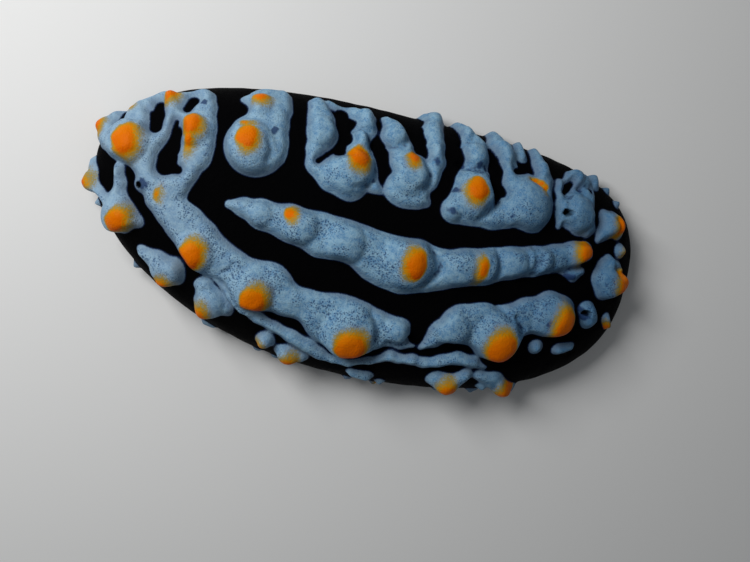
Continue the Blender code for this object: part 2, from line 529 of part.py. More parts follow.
def stacked(layers, sides, middle, reach, roundness):
    """A body drawn up from a flat plan outline, layer by layer; each layer is (height, inset)."""
    bm = bmesh.new()
    bmesh.ops.create_circle(bm, segments=sides, radius=1.0)
    ring = sorted(bm.verts, key=lambda vert: math.atan2(vert.co.y, vert.co.x))
    turns = [math.atan2(vert.co.y, vert.co.x) for vert in ring]
    rim = bm.edges[:]
    for index, (height, inset) in enumerate(layers):
        if index:
            grown = bmesh.ops.extrude_edge_only(bm, edges=rim)["geom"]
            rim = [item for item in grown if isinstance(item, bmesh.types.BMEdge)
                   and all(vert in grown for vert in item.verts)]
            verts = [item for item in grown if isinstance(item, bmesh.types.BMVert)]
            ring = sorted(verts, key=lambda vert: math.atan2(vert.co.y - middle[1], vert.co.x - middle[0]))
        for vert, turn in zip(ring, turns):
            along, across = super_ellipse(turn, reach[0] - inset, reach[1] - inset, roundness)
            vert.co = (middle[0] + along, middle[1] + across, height)
    bmesh.ops.holes_fill(bm, edges=bm.edges, sides=0)
    bmesh.ops.recalc_face_normals(bm, faces=bm.faces)
    return bm


def foot(finish, collection):
    """The flat creeping sole and the body above it, bowed with the midline, cut square at the head."""
    reach = (FOOT_HALF_LENGTH, FOOT_HALF_WIDTH)
    bm = stacked(FOOT_LAYERS, FOOT_SIDES, (FOOT_MIDDLE, 0.0), reach, FOOT_ROUNDNESS)
    for vert in bm.verts:
        vert.co.y += midline(vert.co.x)
    cut_flat(bm, (FOOT_FRONT, 0, 0), (1, 0, 0))
    add_object("foot", mesh_from(bm, "foot"), finish, collection)


def head(finish, collection, cutters):
    """The small head under the mantle's front, with flats for the oral tentacles and a pore of a mouth."""
    bm = stacked(HEAD_LAYERS, HEAD_SIDES, HEAD_MIDDLE, HEAD_REACH, HEAD_ROUNDNESS)
    cut_flat(bm, (FOOT_FRONT + GAP, 0, 0), (-1, 0, 0))
    middle = Vector((*HEAD_MIDDLE, 0.0))
    for sign in (1.0, -1.0):
        outward = Vector((math.cos(TENTACLE_ANGLE), sign * math.sin(TENTACLE_ANGLE), 0.0))
        cut_flat(bm, middle + outward * TENTACLE_ROOT, outward)
    piece = add_object("head", mesh_from(bm, "head"), finish, collection)
    pore = bmesh.new()
    front = Vector((HEAD_MIDDLE[0] + HEAD_REACH[0], HEAD_MIDDLE[1], MOUTH_HEIGHT))
    drawn_in = Matrix.Translation(front) @ Matrix.Diagonal((MOUTH_DEPTH / MOUTH_RADIUS, 1, 1, 1))
    bmesh.ops.create_icosphere(pore, subdivisions=1, radius=MOUTH_RADIUS, matrix=drawn_in)
    cutter = bpy.data.objects.new("mouth", mesh_from(pore, "mouth"))
    cutters.objects.link(cutter)
    cutter.hide_render = True
    cutter.display_type = "WIRE"
    cut = piece.modifiers.new("mouth", "BOOLEAN")
    cut.operation = "DIFFERENCE"
    cut.object = cutter


def oral_tentacle(name, sign, finish, collection):
    """A short blunt feeler standing off the side of the head."""
    bm = bmesh.new()
    bmesh.ops.create_cone(bm, cap_ends=True, segments=TENTACLE_SIDES, radius1=TENTACLE_RADIUS,
                          radius2=TENTACLE_TIP_RADIUS, depth=TENTACLE_LENGTH,
                          matrix=Matrix.Translation((0, 0, TENTACLE_LENGTH / 2)))
    tip = [edge for edge in bm.edges if all(vert.co.z > TENTACLE_LENGTH * 0.9 for vert in edge.verts)]
    bmesh.ops.bevel(bm, geom=tip, offset=TENTACLE_ROUNDING, segments=2, affect="EDGES", profile=0.5)
    outward = Vector((math.cos(TENTACLE_ANGLE), sign * math.sin(TENTACLE_ANGLE), 0.0))
    root = Vector((*HEAD_MIDDLE, TENTACLE_HEIGHT)) + outward * (TENTACLE_ROOT + GAP)
    turn = Vector((0, 0, 1)).rotation_difference(outward).to_matrix().to_4x4()
    bmesh.ops.transform(bm, matrix=Matrix.Translation(root) @ turn, verts=bm.verts)
    add_object(name, mesh_from(bm, name), finish, collection)


def rhinophore(name, place, finish, collection):
    """A ringed club drawn down into its pocket."""
    surface = place_on_back(*place)
    base = surface[2] - POCKET_DEPTH + GAP
    height = POCKET_DEPTH - GAP - RHINOPHORE_SINK
    pitch = RHINOPHORE_CLUB_SHARE * height / RHINOPHORE_RINGS
    layers = [(base, 0.05)]
    for ring in range(RHINOPHORE_RINGS):
        ring_height = base + RHINOPHORE_STALK_SHARE * height + ring * pitch
        layers.append((ring_height, 0.08 + 0.03 * ring))
        layers.append((ring_height + pitch / 2, 0.03 * ring))
    layers.append((base + height, 0.22))
    bm = stacked(layers, PIT_SIDES, (surface[0], surface[1]), (RHINOPHORE_RADIUS, RHINOPHORE_RADIUS), 2.0)
    add_object(name, mesh_from(bm, name), finish, collection)


# Gills

def band_place(along, side_sign, offset):
    """A plan point beside the foot's flank, and the direction straight out from it."""
    def flank(place):
        share = max(1.0 - abs((place - FOOT_MIDDLE) / FOOT_HALF_LENGTH) ** FOOT_ROUNDNESS, 0.0)
        half = FOOT_HALF_WIDTH * share ** (1.0 / FOOT_ROUNDNESS) - FOOT_LAYERS[-1][1]
        return midline(place) + side_sign * half
    step = 0.05
    run = Vector((2 * step, flank(along + step) - flank(along - step), 0.0)).normalized()
    out = Vector((-run.y, run.x, 0.0)) * side_sign
    return Vector((along, flank(along), 0.0)) + out * offset, out, run


def gill_leaflet(place, out, run, size):
    """One leaflet: a thin three-cornered flap that hangs out from the band and tapers to its tip."""
    bm = bmesh.new()
    bmesh.ops.create_cube(bm, size=1.0)
    for vert in bm.verts:
        tip = vert.co.x > 0
        low, high = LEAFLET_TIP_HEIGHTS if tip else LEAFLET_HEIGHTS
        reach = LEAFLET_REACH * size if tip else -LEAFLET_SUNK
        thickness = LEAFLET_THICKNESS * (0.55 if tip else 1.0)
        height = high if vert.co.z > 0 else low
        vert.co = place + out * reach + run * (vert.co.y * thickness) + Vector((0, 0, height))
    return bm


def gill_row(name, side_sign, finish, collection, scraps):
    """The band of body wall under the mantle's edge with its row of leaflets, fused into one body."""
    rear, fore = GILL_SPAN
    bm = bmesh.new()
    bmesh.ops.create_grid(bm, x_segments=GILL_BAND_STEPS, y_segments=1, size=0.5)
    for vert in bm.verts:
        place, _, _ = band_place(rear + (fore - rear) * (vert.co.x + 0.5), side_sign, GAP)
        height = GILL_BAND_HEIGHTS[1] if vert.co.y > 0 else GILL_BAND_HEIGHTS[0]
        vert.co = place + Vector((0, 0, height))
    wall = add_object(name, mesh_from(bm, name), finish, collection)
    thicken = wall.modifiers.new("thickness", "SOLIDIFY")
    thicken.thickness = GILL_BAND_THICKNESS * MM
    thicken.offset = -side_sign
    band = add_object(name, evaluated_mesh(wall, name), finish, collection)
    draw = np.random.RandomState(LEAFLET_SEED + int(side_sign))
    along = rear + LEAFLET_PITCH
    while along < fore - LEAFLET_PITCH:
        place, out, run = band_place(along, side_sign, GAP + GILL_BAND_THICKNESS)
        leaflet = gill_leaflet(place, out, run, draw.uniform(0.85, 1.1))
        bmesh.ops.recalc_face_normals(leaflet, faces=leaflet.faces)
        add_object(name + "_leaflet", mesh_from(leaflet, name + "_leaflet"), finish, scraps)
        along += LEAFLET_PITCH * abs(run.x) * draw.uniform(0.95, 1.05)
    fuse = band.modifiers.new("leaflets", "BOOLEAN")
    fuse.operation = "UNION"
    fuse.operand_type = "COLLECTION"
    fuse.collection = scraps
    fuse.solver = "EXACT"
    fused = evaluated_mesh(band, name)
    for scrap in list(scraps.objects):
        bpy.data.objects.remove(scrap)
    bm = bmesh.new()
    bm.from_mesh(fused)
    keep_largest(bm)
    bm.to_mesh(fused)
    bm.free()
    add_object(name, fused, finish, collection)


for old in list(bpy.data.objects):
    bpy.data.objects.remove(old)

animal = bpy.data.collections.new("nudibranch")
cutters = bpy.data.collections.new("cutters")
leaflets = bpy.data.collections.new("leaflets")
for group in (animal, cutters, leaflets):
    bpy.context.scene.collection.children.link(group)

mantle_skin = material("mantle_skin", (0.17, 0.29, 0.41), 0.45)
foot_skin = material("foot_skin", (0.20, 0.22, 0.25), 0.5)
gill_skin = material("gill_skin", (0.28, 0.30, 0.33), 0.5)
feeler_skin = material("feeler_skin", (0.55, 0.22, 0.02), 0.45)

whole = whole_mantle(mantle_skin, animal)
cut_pits(whole, cutters)
mantle_lengths(evaluated_mesh(whole, "mantle_cut"), mantle_skin, animal)
for cutter in list(cutters.objects):
    bpy.data.objects.remove(cutter)
foot(foot_skin, animal)
head(foot_skin, animal, cutters)
oral_tentacle("oral_tentacle_left", 1.0, feeler_skin, animal)
oral_tentacle("oral_tentacle_right", -1.0, feeler_skin, animal)
for feeler, spot in RHINOPHORE_PLACES.items():
    rhinophore(feeler, spot, feeler_skin, animal)
gill_row("gills_left", 1.0, gill_skin, animal, leaflets)
gill_row("gills_right", -1.0, gill_skin, animal, leaflets)
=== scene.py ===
"""The looks of a wart slug of the genus Phyllidia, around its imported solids."""
import math

import bpy
import numpy as np
from mathutils import Matrix, Vector


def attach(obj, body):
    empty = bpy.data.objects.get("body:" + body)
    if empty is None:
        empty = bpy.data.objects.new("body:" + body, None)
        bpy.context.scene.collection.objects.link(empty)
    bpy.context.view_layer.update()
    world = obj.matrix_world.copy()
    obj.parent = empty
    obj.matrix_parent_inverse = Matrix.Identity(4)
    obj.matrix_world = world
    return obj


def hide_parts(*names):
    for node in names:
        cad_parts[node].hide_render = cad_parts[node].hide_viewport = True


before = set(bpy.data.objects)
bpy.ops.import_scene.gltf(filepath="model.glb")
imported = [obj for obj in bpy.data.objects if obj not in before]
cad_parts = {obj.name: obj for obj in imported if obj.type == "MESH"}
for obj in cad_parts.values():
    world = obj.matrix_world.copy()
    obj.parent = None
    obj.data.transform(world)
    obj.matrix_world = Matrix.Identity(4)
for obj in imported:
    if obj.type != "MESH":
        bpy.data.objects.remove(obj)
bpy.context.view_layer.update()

# Mantle: the broad leathery shield over the whole back. It is one skin, stiffened with lime needles, raised
# in blue-grey pads and knobs with orange caps, and black between them. It is drawn out of a sphere: each
# ring of the sphere becomes a section over the back and under the rim, and the pads are raised from it.

# Sizes are in millimetres. Along the body, 0 is its middle and the head is at the plus end. Across it, 0 is
# the midline, 1 the left rim and -1 the right rim, measured over the curve of the back.
MM = 0.001
HALF_LENGTH = 35.0
HALF_WIDTHS = {"left": 17.0, "right": 17.1}
MIDLINE_BOW = (-0.15, -0.034, 0.0023)
BACK_HEIGHT = 8.6
RIM_HEIGHT = 1.5
RIM_BOTTOM = 0.7
LIP_WIDTH = 1.4
CEILING_HEIGHT = 3.8
FLAT_CEILING = 0.70
END_RISE = 4.5
LEFT_ROUNDNESS = 2.15
RIGHT_ROUNDNESS = 2.6
LENGTH_ROUNDNESS = 2.6
PLAN_ROUNDNESS = {("left", "head"): 2.8, ("left", "tail"): 2.1,
                  ("right", "head"): 2.6, ("right", "tail"): 2.05}
MANTLE_RINGS = 440
MANTLE_COLUMNS = 224
BACK_SHARE = 0.87

PAD_HEIGHT = 0.75
PAD_EDGE = 1.1
PAD_BLEND = 0.5
SLOT_BLEND = 0.3
FAR_OUTSIDE = 3.0
CROWN_RISE = 0.17
KNOB_RISE = 0.60
KNOB_ROUNDNESS = 0.58
CAP_RISE = 0.18
LIP_TURN = (0.92, 0.985)
FOLD_DEPTH = 0.55
FOLD_WIDTH = (0.24, 0.55)
FOLD_STEPS = 4
CAP_SLOPE = 0.9
# Unevenness: its size, wavelength and seed
OUTLINE_WOBBLE = (0.08, 3.0, 5)
CAP_WOBBLE = (0.09, 1.5, 9)
SURFACE_WOBBLE = (0.06, 2.2, 21)
WOBBLE_WAVES = 14
SMOOTHING_PASSES = 2
CAP_SHADE_SIDE = Vector((0.5, -0.86, 0.0))

# Each pad is a chain of links joined one to the next: (along, across, radius)
PADS = {
    "median_ridge": [(-18.5, 0.04, 0.6), (-16.8, 0.05, 1.2), (-14.6, 0.04, 1.8), (-11.2, 0.04, 2.2),
                     (-7.3, 0.02, 2.6), (-5.6, 0.02, 2.5), (-3.9, 0.02, 2.4), (-2.3, 0.01, 2.5),
                     (-0.5, -0.02, 3.0), (1.6, -0.04, 3.2), (3.1, -0.04, 3.4), (4.4, -0.03, 3.4),
                     (6.1, -0.03, 2.8), (7.5, -0.02, 2.5), (10.2, 0.01, 2.4), (13.6, 0.05, 2.3),
                     (16.3, 0.09, 2.0), (19.3, 0.12, 1.9), (22.0, 0.16, 1.8), (24.5, 0.21, 1.7),
                     (25.9, 0.25, 1.5)],
    "median_flap": [(23.4, 0.10, 0.6), (25.1, 0.07, 0.9), (26.1, 0.10, 0.6)],
    "tail_right_ridge": [(-28.5, -0.03, 1.2), (-27.8, 0.02, 1.4), (-26.6, -0.07, 1.8),
                         (-25.0, -0.13, 2.0), (-22.9, -0.19, 2.4), (-21.2, -0.25, 2.6),
                         (-19.8, -0.30, 2.7), (-18.0, -0.32, 2.3), (-16.2, -0.33, 2.3),
                         (-14.2, -0.37, 3.1), (-12.2, -0.36, 3.1), (-10.1, -0.39, 2.3),
                         (-7.7, -0.39, 2.0), (-4.2, -0.43, 3.4), (-1.6, -0.45, 3.8), (1.1, -0.44, 2.8),
                         (3.0, -0.42, 1.9), (4.2, -0.41, 1.7), (5.1, -0.47, 0.7)],
    "right_ridge_flap": [(3.6, -0.48, 1.0), (5.1, -0.49, 0.8), (6.6, -0.49, 0.3)],
    "right_ridge_fore": [(7.7, -0.49, 0.5), (8.9, -0.43, 1.1), (9.7, -0.37, 1.7), (11.7, -0.32, 2.5),
                         (14.4, -0.31, 2.9), (16.7, -0.37, 3.3), (17.7, -0.29, 2.6), (20.3, -0.23, 2.4),
                         (22.9, -0.22, 2.9), (24.0, -0.23, 2.8)],
    "right_strip": [(-18.3, -0.44, 0.4), (-16.4, -0.49, 0.7), (-14.7, -0.54, 0.8), (-12.6, -0.57, 0.8),
                    (-10.5, -0.58, 0.8), (-8.4, -0.61, 1.0), (-6.2, -0.64, 1.1), (-4.5, -0.67, 0.9),
                    (-2.6, -0.69, 0.7), (-0.5, -0.69, 0.6), (1.9, -0.64, 0.6), (3.1, -0.61, 0.7),
                    (4.1, -0.58, 0.9), (5.3, -0.59, 0.7), (7.0, -0.58, 0.9), (8.6, -0.59, 0.9),
                    (10.5, -0.57, 0.9), (12.6, -0.54, 1.1), (14.8, -0.56, 0.8), (16.6, -0.60, 0.4)],
    "right_margin_tail": [(-27.2, -0.57, 1.0), (-25.2, -0.56, 1.6), (-24.0, -0.56, 2.2)],
    "right_margin_rear": [(-19.6, -0.52, 1.3), (-18.4, -0.61, 2.1), (-16.7, -0.60, 1.2)],
    "right_margin_small": [(-11.2, -0.70, 1.4)],
    "right_margin_middle": [(-8.4, -0.74, 1.5), (-6.5, -0.74, 1.1)],
    "right_margin_shade": [(0.3, -0.77, 0.8), (2.2, -0.77, 1.0)],
    "right_margin_shade_fore": [(4.3, -0.83, 0.8)],
    "right_margin_fore": [(11.0, -0.71, 1.5), (13.2, -0.73, 1.6), (14.4, -0.66, 1.1)],
    "right_margin_fore_small": [(17.5, -0.78, 0.9)],
    "right_margin_head": [(16.3, -0.66, 0.9), (18.3, -0.71, 1.4), (21.1, -0.87, 1.7)],
    "right_head_pads": [(22.5, -0.46, 1.1)],
    "right_head_far": [(25.8, -0.51, 0.9), (27.5, -0.52, 0.7)],
    "head_right": [(28.2, -0.21, 1.3), (28.9, -0.30, 1.3)],
    "head_right_far": [(31.8, -0.36, 0.9), (32.5, -0.49, 0.8)],
    "head_front": [(31.3, 0.19, 1.0), (29.9, 0.24, 0.7), (29.6, 0.17, 1.3), (29.7, 0.08, 1.9),
                   (30.3, 0.01, 1.9), (31.8, 0.04, 1.8)],
    "head_front_left": [(31.5, 0.37, 1.1)],
    "head_left": [(27.7, 0.37, 0.5), (28.2, 0.43, 0.9), (28.9, 0.50, 1.5), (28.4, 0.58, 1.0),
                  (29.9, 0.61, 1.2), (30.4, 0.53, 1.4)],
    "tail_end": [(-34.9, -0.10, 0.6), (-34.6, -0.40, 1.0), (-34.4, -0.58, 1.3), (-33.4, -0.45, 0.7),
                 (-32.4, -0.44, 0.9)],
    "tail_right": [(-31.7, 0.02, 0.9), (-31.3, -0.12, 0.8), (-31.3, -0.27, 1.1), (-30.8, -0.42, 2.6),
                   (-28.6, -0.36, 1.0)],
    "tail_right_small": [(-33.6, -0.77, 0.6)],
    "left_tail": [(-34.3, 0.83, 1.3), (-33.6, 0.56, 2.1), (-31.5, 0.36, 2.7), (-29.5, 0.25, 2.2),
                  (-28.5, 0.13, 1.6), (-27.5, 0.01, 1.8)],
    "left_tail_edge": [(-34.3, 0.86, 1.0), (-33.6, 0.91, 1.0), (-31.0, 0.66, 1.2), (-30.6, 0.73, 1.0),
                       (-29.7, 0.46, 1.0), (-29.4, 0.33, 1.2)],
    "left_tail_arm": [(-31.7, 0.70, 1.0), (-30.6, 0.76, 0.9), (-28.0, 0.76, 1.5), (-27.0, 0.68, 1.6),
                      (-27.0, 0.50, 1.0), (-27.5, 0.38, 1.0), (-29.0, 0.26, 1.4)],
    "left_rear": [(-27.4, 0.78, 1.2), (-26.1, 0.75, 1.1), (-23.8, 0.75, 1.6), (-23.1, 0.66, 1.3),
                  (-23.4, 0.51, 2.0), (-23.3, 0.39, 1.9), (-23.3, 0.29, 1.8), (-24.2, 0.17, 1.8),
                  (-25.2, 0.05, 2.0), (-25.9, -0.05, 2.1)],
    "left_rear_slot_side": [(-26.5, 0.66, 1.0), (-25.1, 0.55, 1.0), (-23.5, 0.51, 1.9)],
    "left_first": [(-17.0, 0.75, 1.8), (-15.9, 0.69, 2.4), (-15.9, 0.59, 2.6), (-16.6, 0.47, 3.6),
                   (-16.8, 0.44, 3.8)],
    "left_first_edge": [(-18.8, 0.76, 0.7), (-17.0, 0.77, 1.8), (-14.7, 0.82, 1.2), (-14.2, 0.70, 1.1)],
    "left_second": [(-10.4, 0.81, 1.2), (-9.7, 0.69, 1.7), (-9.3, 0.60, 1.9), (-9.6, 0.50, 1.4),
                    (-9.1, 0.42, 1.7), (-7.2, 0.37, 2.1), (-5.4, 0.38, 2.8), (-4.1, 0.44, 2.1),
                    (-2.3, 0.36, 0.8), (-1.4, 0.34, 0.4)],
    "left_second_edge": [(-9.1, 0.83, 0.6), (-7.6, 0.80, 0.6), (-5.8, 0.79, 1.0), (-4.4, 0.78, 1.3),
                         (-4.1, 0.70, 1.2), (-4.9, 0.62, 1.3), (-4.7, 0.54, 1.7)],
    "left_third": [(-1.8, 0.80, 0.7), (-0.9, 0.76, 1.3), (-0.6, 0.69, 1.7), (0.3, 0.62, 1.6),
                   (0.9, 0.54, 1.8), (2.6, 0.55, 1.3), (2.2, 0.46, 2.3), (1.9, 0.41, 2.8)],
    "left_third_low": [(0.6, 0.37, 1.7), (3.0, 0.36, 1.5), (4.4, 0.34, 0.5)],
    "left_third_edge": [(3.7, 0.97, 1.2), (4.9, 0.97, 1.3), (4.2, 0.80, 1.4), (4.6, 0.70, 1.2),
                        (4.9, 0.59, 1.2), (3.9, 0.48, 1.7)],
    "left_fourth": [(7.8, 0.96, 1.0), (8.6, 0.90, 1.2), (9.9, 0.73, 1.9), (10.0, 0.62, 1.6),
                    (9.8, 0.52, 2.3), (10.0, 0.42, 2.9), (7.8, 0.33, 1.5), (12.6, 0.37, 2.2)],
    "left_fifth": [(12.7, 0.96, 1.2), (13.1, 0.76, 1.9), (13.9, 0.69, 1.4), (14.6, 0.61, 1.5),
                   (16.7, 0.55, 2.6), (17.3, 0.46, 3.3), (14.7, 0.38, 1.7), (12.6, 0.37, 2.2)],
    "left_fifth_edge": [(18.0, 0.89, 0.9), (18.6, 0.75, 1.2), (19.1, 0.67, 1.2), (18.7, 0.54, 1.8)],
    "left_fifth_small": [(15.9, 0.91, 0.8), (16.1, 0.78, 0.8)],
    "left_sixth": [(21.4, 0.69, 0.6), (21.4, 0.62, 0.55), (21.8, 0.53, 0.7), (22.0, 0.46, 0.9),
                   (21.7, 0.38, 0.5)],
    "left_sixth_dome": [(23.0, 0.46, 1.3), (24.2, 0.51, 2.2), (24.7, 0.46, 1.9), (25.4, 0.51, 1.5),
                        (25.9, 0.44, 1.2), (25.8, 0.39, 0.7)],
    "left_sixth_edge": [(22.0, 0.70, 0.6), (23.4, 0.77, 1.3), (24.9, 0.80, 1.1), (25.5, 0.71, 1.2),
                        (25.2, 0.60, 1.6)],
    "left_sixth_fill": [(23.7, 0.64, 1.2), (22.5, 0.58, 1.0), (22.1, 0.54, 0.9)],
    "left_seventh": [(27.2, 0.94, 1.0), (26.8, 0.82, 0.9)],
    "left_head_small": [(29.1, 0.90, 0.8)],
    "left_head_last": [(30.5, 0.82, 0.7)],
}

# Black slots and holes in the pads, in the same form
SLOTS = {
    "tail_first_slot": [(-32.4, 0.78, 0.3), (-32.7, 0.64, 0.4)],
    "tail_second_slot": [(-28.5, 0.71, 0.5), (-28.5, 0.59, 0.8), (-28.4, 0.48, 0.7)],
    "tail_third_slot": [(-24.7, 0.72, 0.6), (-25.2, 0.65, 0.5)],
    "tail_wedge": [(-26.1, 0.53, 0.2), (-26.1, 0.36, 0.5), (-26.4, 0.23, 1.1), (-26.4, 0.17, 1.0),
                   (-25.0, 0.16, 0.5)],
    "second_slot": [(-7.4, 0.76, 0.8), (-6.8, 0.68, 0.7), (-6.5, 0.60, 0.7), (-7.3, 0.53, 0.4),
                    (-8.4, 0.48, 0.3), (-9.3, 0.43, 0.3)],
    "third_slot": [(1.7, 0.93, 0.4), (2.3, 0.79, 0.65), (2.6, 0.71, 0.75), (2.4, 0.65, 0.5)],
    "fourth_slot": [(11.6, 0.77, 0.2), (12.2, 0.70, 0.4), (12.7, 0.63, 0.7), (13.1, 0.54, 0.4),
                    (13.3, 0.48, 0.3), (13.2, 0.43, 0.1)],
    "fifth_slot": [(15.4, 0.67, 0.5), (16.3, 0.69, 0.5)],
    "sixth_slot": [(23.0, 0.71, 0.26), (22.5, 0.67, 0.38), (22.1, 0.63, 0.28)],
    "sixth_notch": [(26.0, 0.73, 0.3)],
}

# Folds where one knob overlaps the next, in the same form; the finish also paints navy shade along them
FOLDS = {
    "knob_over_ridge": [(5.5, 0.10, 0.15), (6.1, 0.07, 0.35), (7.5, 0.01, 0.45), (7.4, -0.03, 0.40),
                        (6.4, -0.08, 0.45), (5.6, -0.13, 0.30)],
    "ridge_second": [(14.1, 0.16, 0.15), (14.6, 0.11, 0.25), (14.8, 0.04, 0.35), (14.5, -0.02, 0.35)],
    "ridge_third": [(18.8, 0.22, 0.20), (19.2, 0.15, 0.30), (19.3, 0.10, 0.40), (19.3, 0.05, 0.45)],
    "ridge_fourth": [(19.4, 0.21, 0.15), (19.8, 0.15, 0.20), (19.6, 0.11, 0.20)],
    "ridge_flap": [(22.0, 0.06, 0.20), (23.6, 0.08, 0.35), (25.3, 0.13, 0.35), (26.8, 0.20, 0.25)],
    "right_fore": [(18.3, -0.23, 0.20), (18.9, -0.28, 0.40), (19.4, -0.32, 0.50)],
    "right_fore_faint": [(15.7, -0.17, 0.15), (16.8, -0.21, 0.20), (17.7, -0.25, 0.20)],
    "right_knob": [(0.3, -0.33, 0.15), (1.4, -0.40, 0.30), (1.6, -0.48, 0.35)],
    "right_lobe": [(3.3, -0.48, 0.30), (4.6, -0.49, 0.35), (5.4, -0.48, 0.30), (5.9, -0.44, 0.20)],
    "right_tail": [(-17.7, -0.37, 0.05), (-16.9, -0.32, 0.05), (-16.6, -0.28, 0.02)],
    "left_third": [(3.7, 0.54, 0.25), (4.2, 0.50, 0.35), (4.2, 0.45, 0.35), (3.6, 0.41, 0.30),
                   (2.7, 0.39, 0.15)],
    "left_third_knob": [(0.9, 0.69, 0.12), (0.7, 0.64, 0.30), (-0.4, 0.61, 0.35), (-1.5, 0.61, 0.15)],
    "left_fourth_knob": [(7.7, 0.62, 0.30), (8.9, 0.60, 0.50), (10.2, 0.59, 0.55), (11.3, 0.63, 0.45)],
    "left_fourth_small": [(7.8, 0.75, 0.15), (8.6, 0.76, 0.30), (9.3, 0.80, 0.20)],
    "left_sixth_dome": [(23.0, 0.63, 0.12), (22.5, 0.59, 0.25), (22.2, 0.54, 0.12)],
    "left_sixth_low": [(22.3, 0.41, 0.12), (22.9, 0.38, 0.15)],
    "left_sixth_knob": [(23.0, 0.65, 0.20), (24.1, 0.68, 0.35), (25.2, 0.74, 0.20)],
    "left_fourth": [(12.0, 0.57, 0.15), (12.8, 0.49, 0.35), (12.7, 0.41, 0.50), (11.8, 0.36, 0.45),
                    (11.0, 0.32, 0.20)],
    "left_fifth": [(17.2, 0.63, 0.25), (18.2, 0.60, 0.25), (19.4, 0.56, 0.20)],
    "left_first": [(-15.5, 0.47, 0.15), (-14.9, 0.41, 0.25), (-15.2, 0.34, 0.20)],
    "left_second": [(-2.6, 0.50, 0.15), (-2.3, 0.45, 0.35), (-2.6, 0.39, 0.35), (-3.6, 0.34, 0.28),
                    (-4.8, 0.32, 0.12)],
    "left_second_knob": [(-5.9, 0.65, 0.12), (-5.2, 0.67, 0.28), (-4.1, 0.66, 0.32), (-3.5, 0.61, 0.30),
                         (-3.4, 0.56, 0.15)],
}

# Navy stains in the pads: (along, across, radius). The two at 27.4 and 26.9 along, by the right rhinophore's
# pocket, are painted shade of the hollow there
STAINS_AND_SHADE = [(7.4, 0.32, 0.55), (14.8, 0.36, 0.30), (-14.9, 0.54, 0.50), (4.8, 0.58, 0.70),
          (9.0, 0.59, 0.50), (10.2, 0.62, 0.50), (-23.4, 0.67, 0.50), (-28.4, -0.03, 1.00),
          (27.4, -0.24, 0.80), (-22.9, 0.02, 0.40), (24.5, 0.05, 0.80), (22.2, -0.25, 0.50),
          (26.9, -0.19, 0.60), (8.3, 0.61, 0.45), (11.2, 0.62, 0.45), (7.6, 0.44, 0.45)]

# Where a pit's wall and its painted dark shade round the rim lie, in shares of its radius
PIT_WALL = (0.7, 1.3)
PIT_SHADE_SPAN = (0.9, 1.6)
# Pits: the closed pockets of the two rhinophores, and the anus: (along, across, radius, depth)
PITS = {"rhinophore_left": (22.2, 0.47, 0.38, 2.2), "rhinophore_right": (27.6, -0.21, 0.30, 2.2),
        "anus": (-28.9, -0.05, 0.34, 0.8)}

# Domes on the pads: (along, across, radius)
KNOBS = [
    (-30.9, 0.32, 2.7), (-33.9, 0.74, 1.2), (-24.0, 0.46, 2.0), (-27.3, 0.74, 1.0), (-34.4, -0.55, 1.3),
    (-30.4, -0.42, 2.3), (-31.4, -0.02, 0.8), (-21.4, -0.33, 2.6), (-14.2, -0.42, 3.0),
    (-1.6, -0.48, 3.7), (4.0, -0.40, 1.8), (-17.6, 0.41, 3.3), (-17.0, 0.69, 1.7), (-9.6, 0.60, 2.0),
    (-5.6, 0.41, 2.8), (-4.4, 0.74, 1.5), (-4.9, 0.60, 1.4), (1.7, 0.46, 2.5), (-0.5, 0.70, 1.5),
    (1.8, 0.55, 1.3), (4.7, 0.93, 1.3), (4.5, 0.65, 1.2), (9.6, 0.68, 1.7), (9.9, 0.44, 3.0),
    (8.5, 0.84, 1.1), (7.4, 0.31, 1.4), (16.8, 0.45, 3.2), (13.1, 0.75, 1.8), (18.5, 0.71, 1.3),
    (23.9, 0.50, 2.4), (23.4, 0.76, 1.4), (29.2, 0.52, 1.8), (30.5, 0.02, 2.3), (30.3, 0.21, 1.2),
    (28.2, -0.23, 1.7), (31.2, 0.06, 1.9), (3.5, -0.01, 3.4), (-10.0, 0.04, 2.3), (-4.5, 0.01, 2.6),
    (10.0, 0.02, 2.5), (12.6, 0.04, 2.2), (16.6, 0.09, 2.0), (19.8, 0.13, 1.9), (24.9, 0.23, 1.8),
    (-14.8, 0.04, 1.6), (16.8, -0.38, 3.5), (23.4, -0.24, 3.1), (10.8, -0.34, 2.3), (-23.8, -0.54, 2.3),
    (-18.7, -0.62, 2.1), (-8.1, -0.73, 1.5), (-11.2, -0.68, 1.3), (12.4, -0.74, 1.7), (20.2, -0.77, 1.7),
]

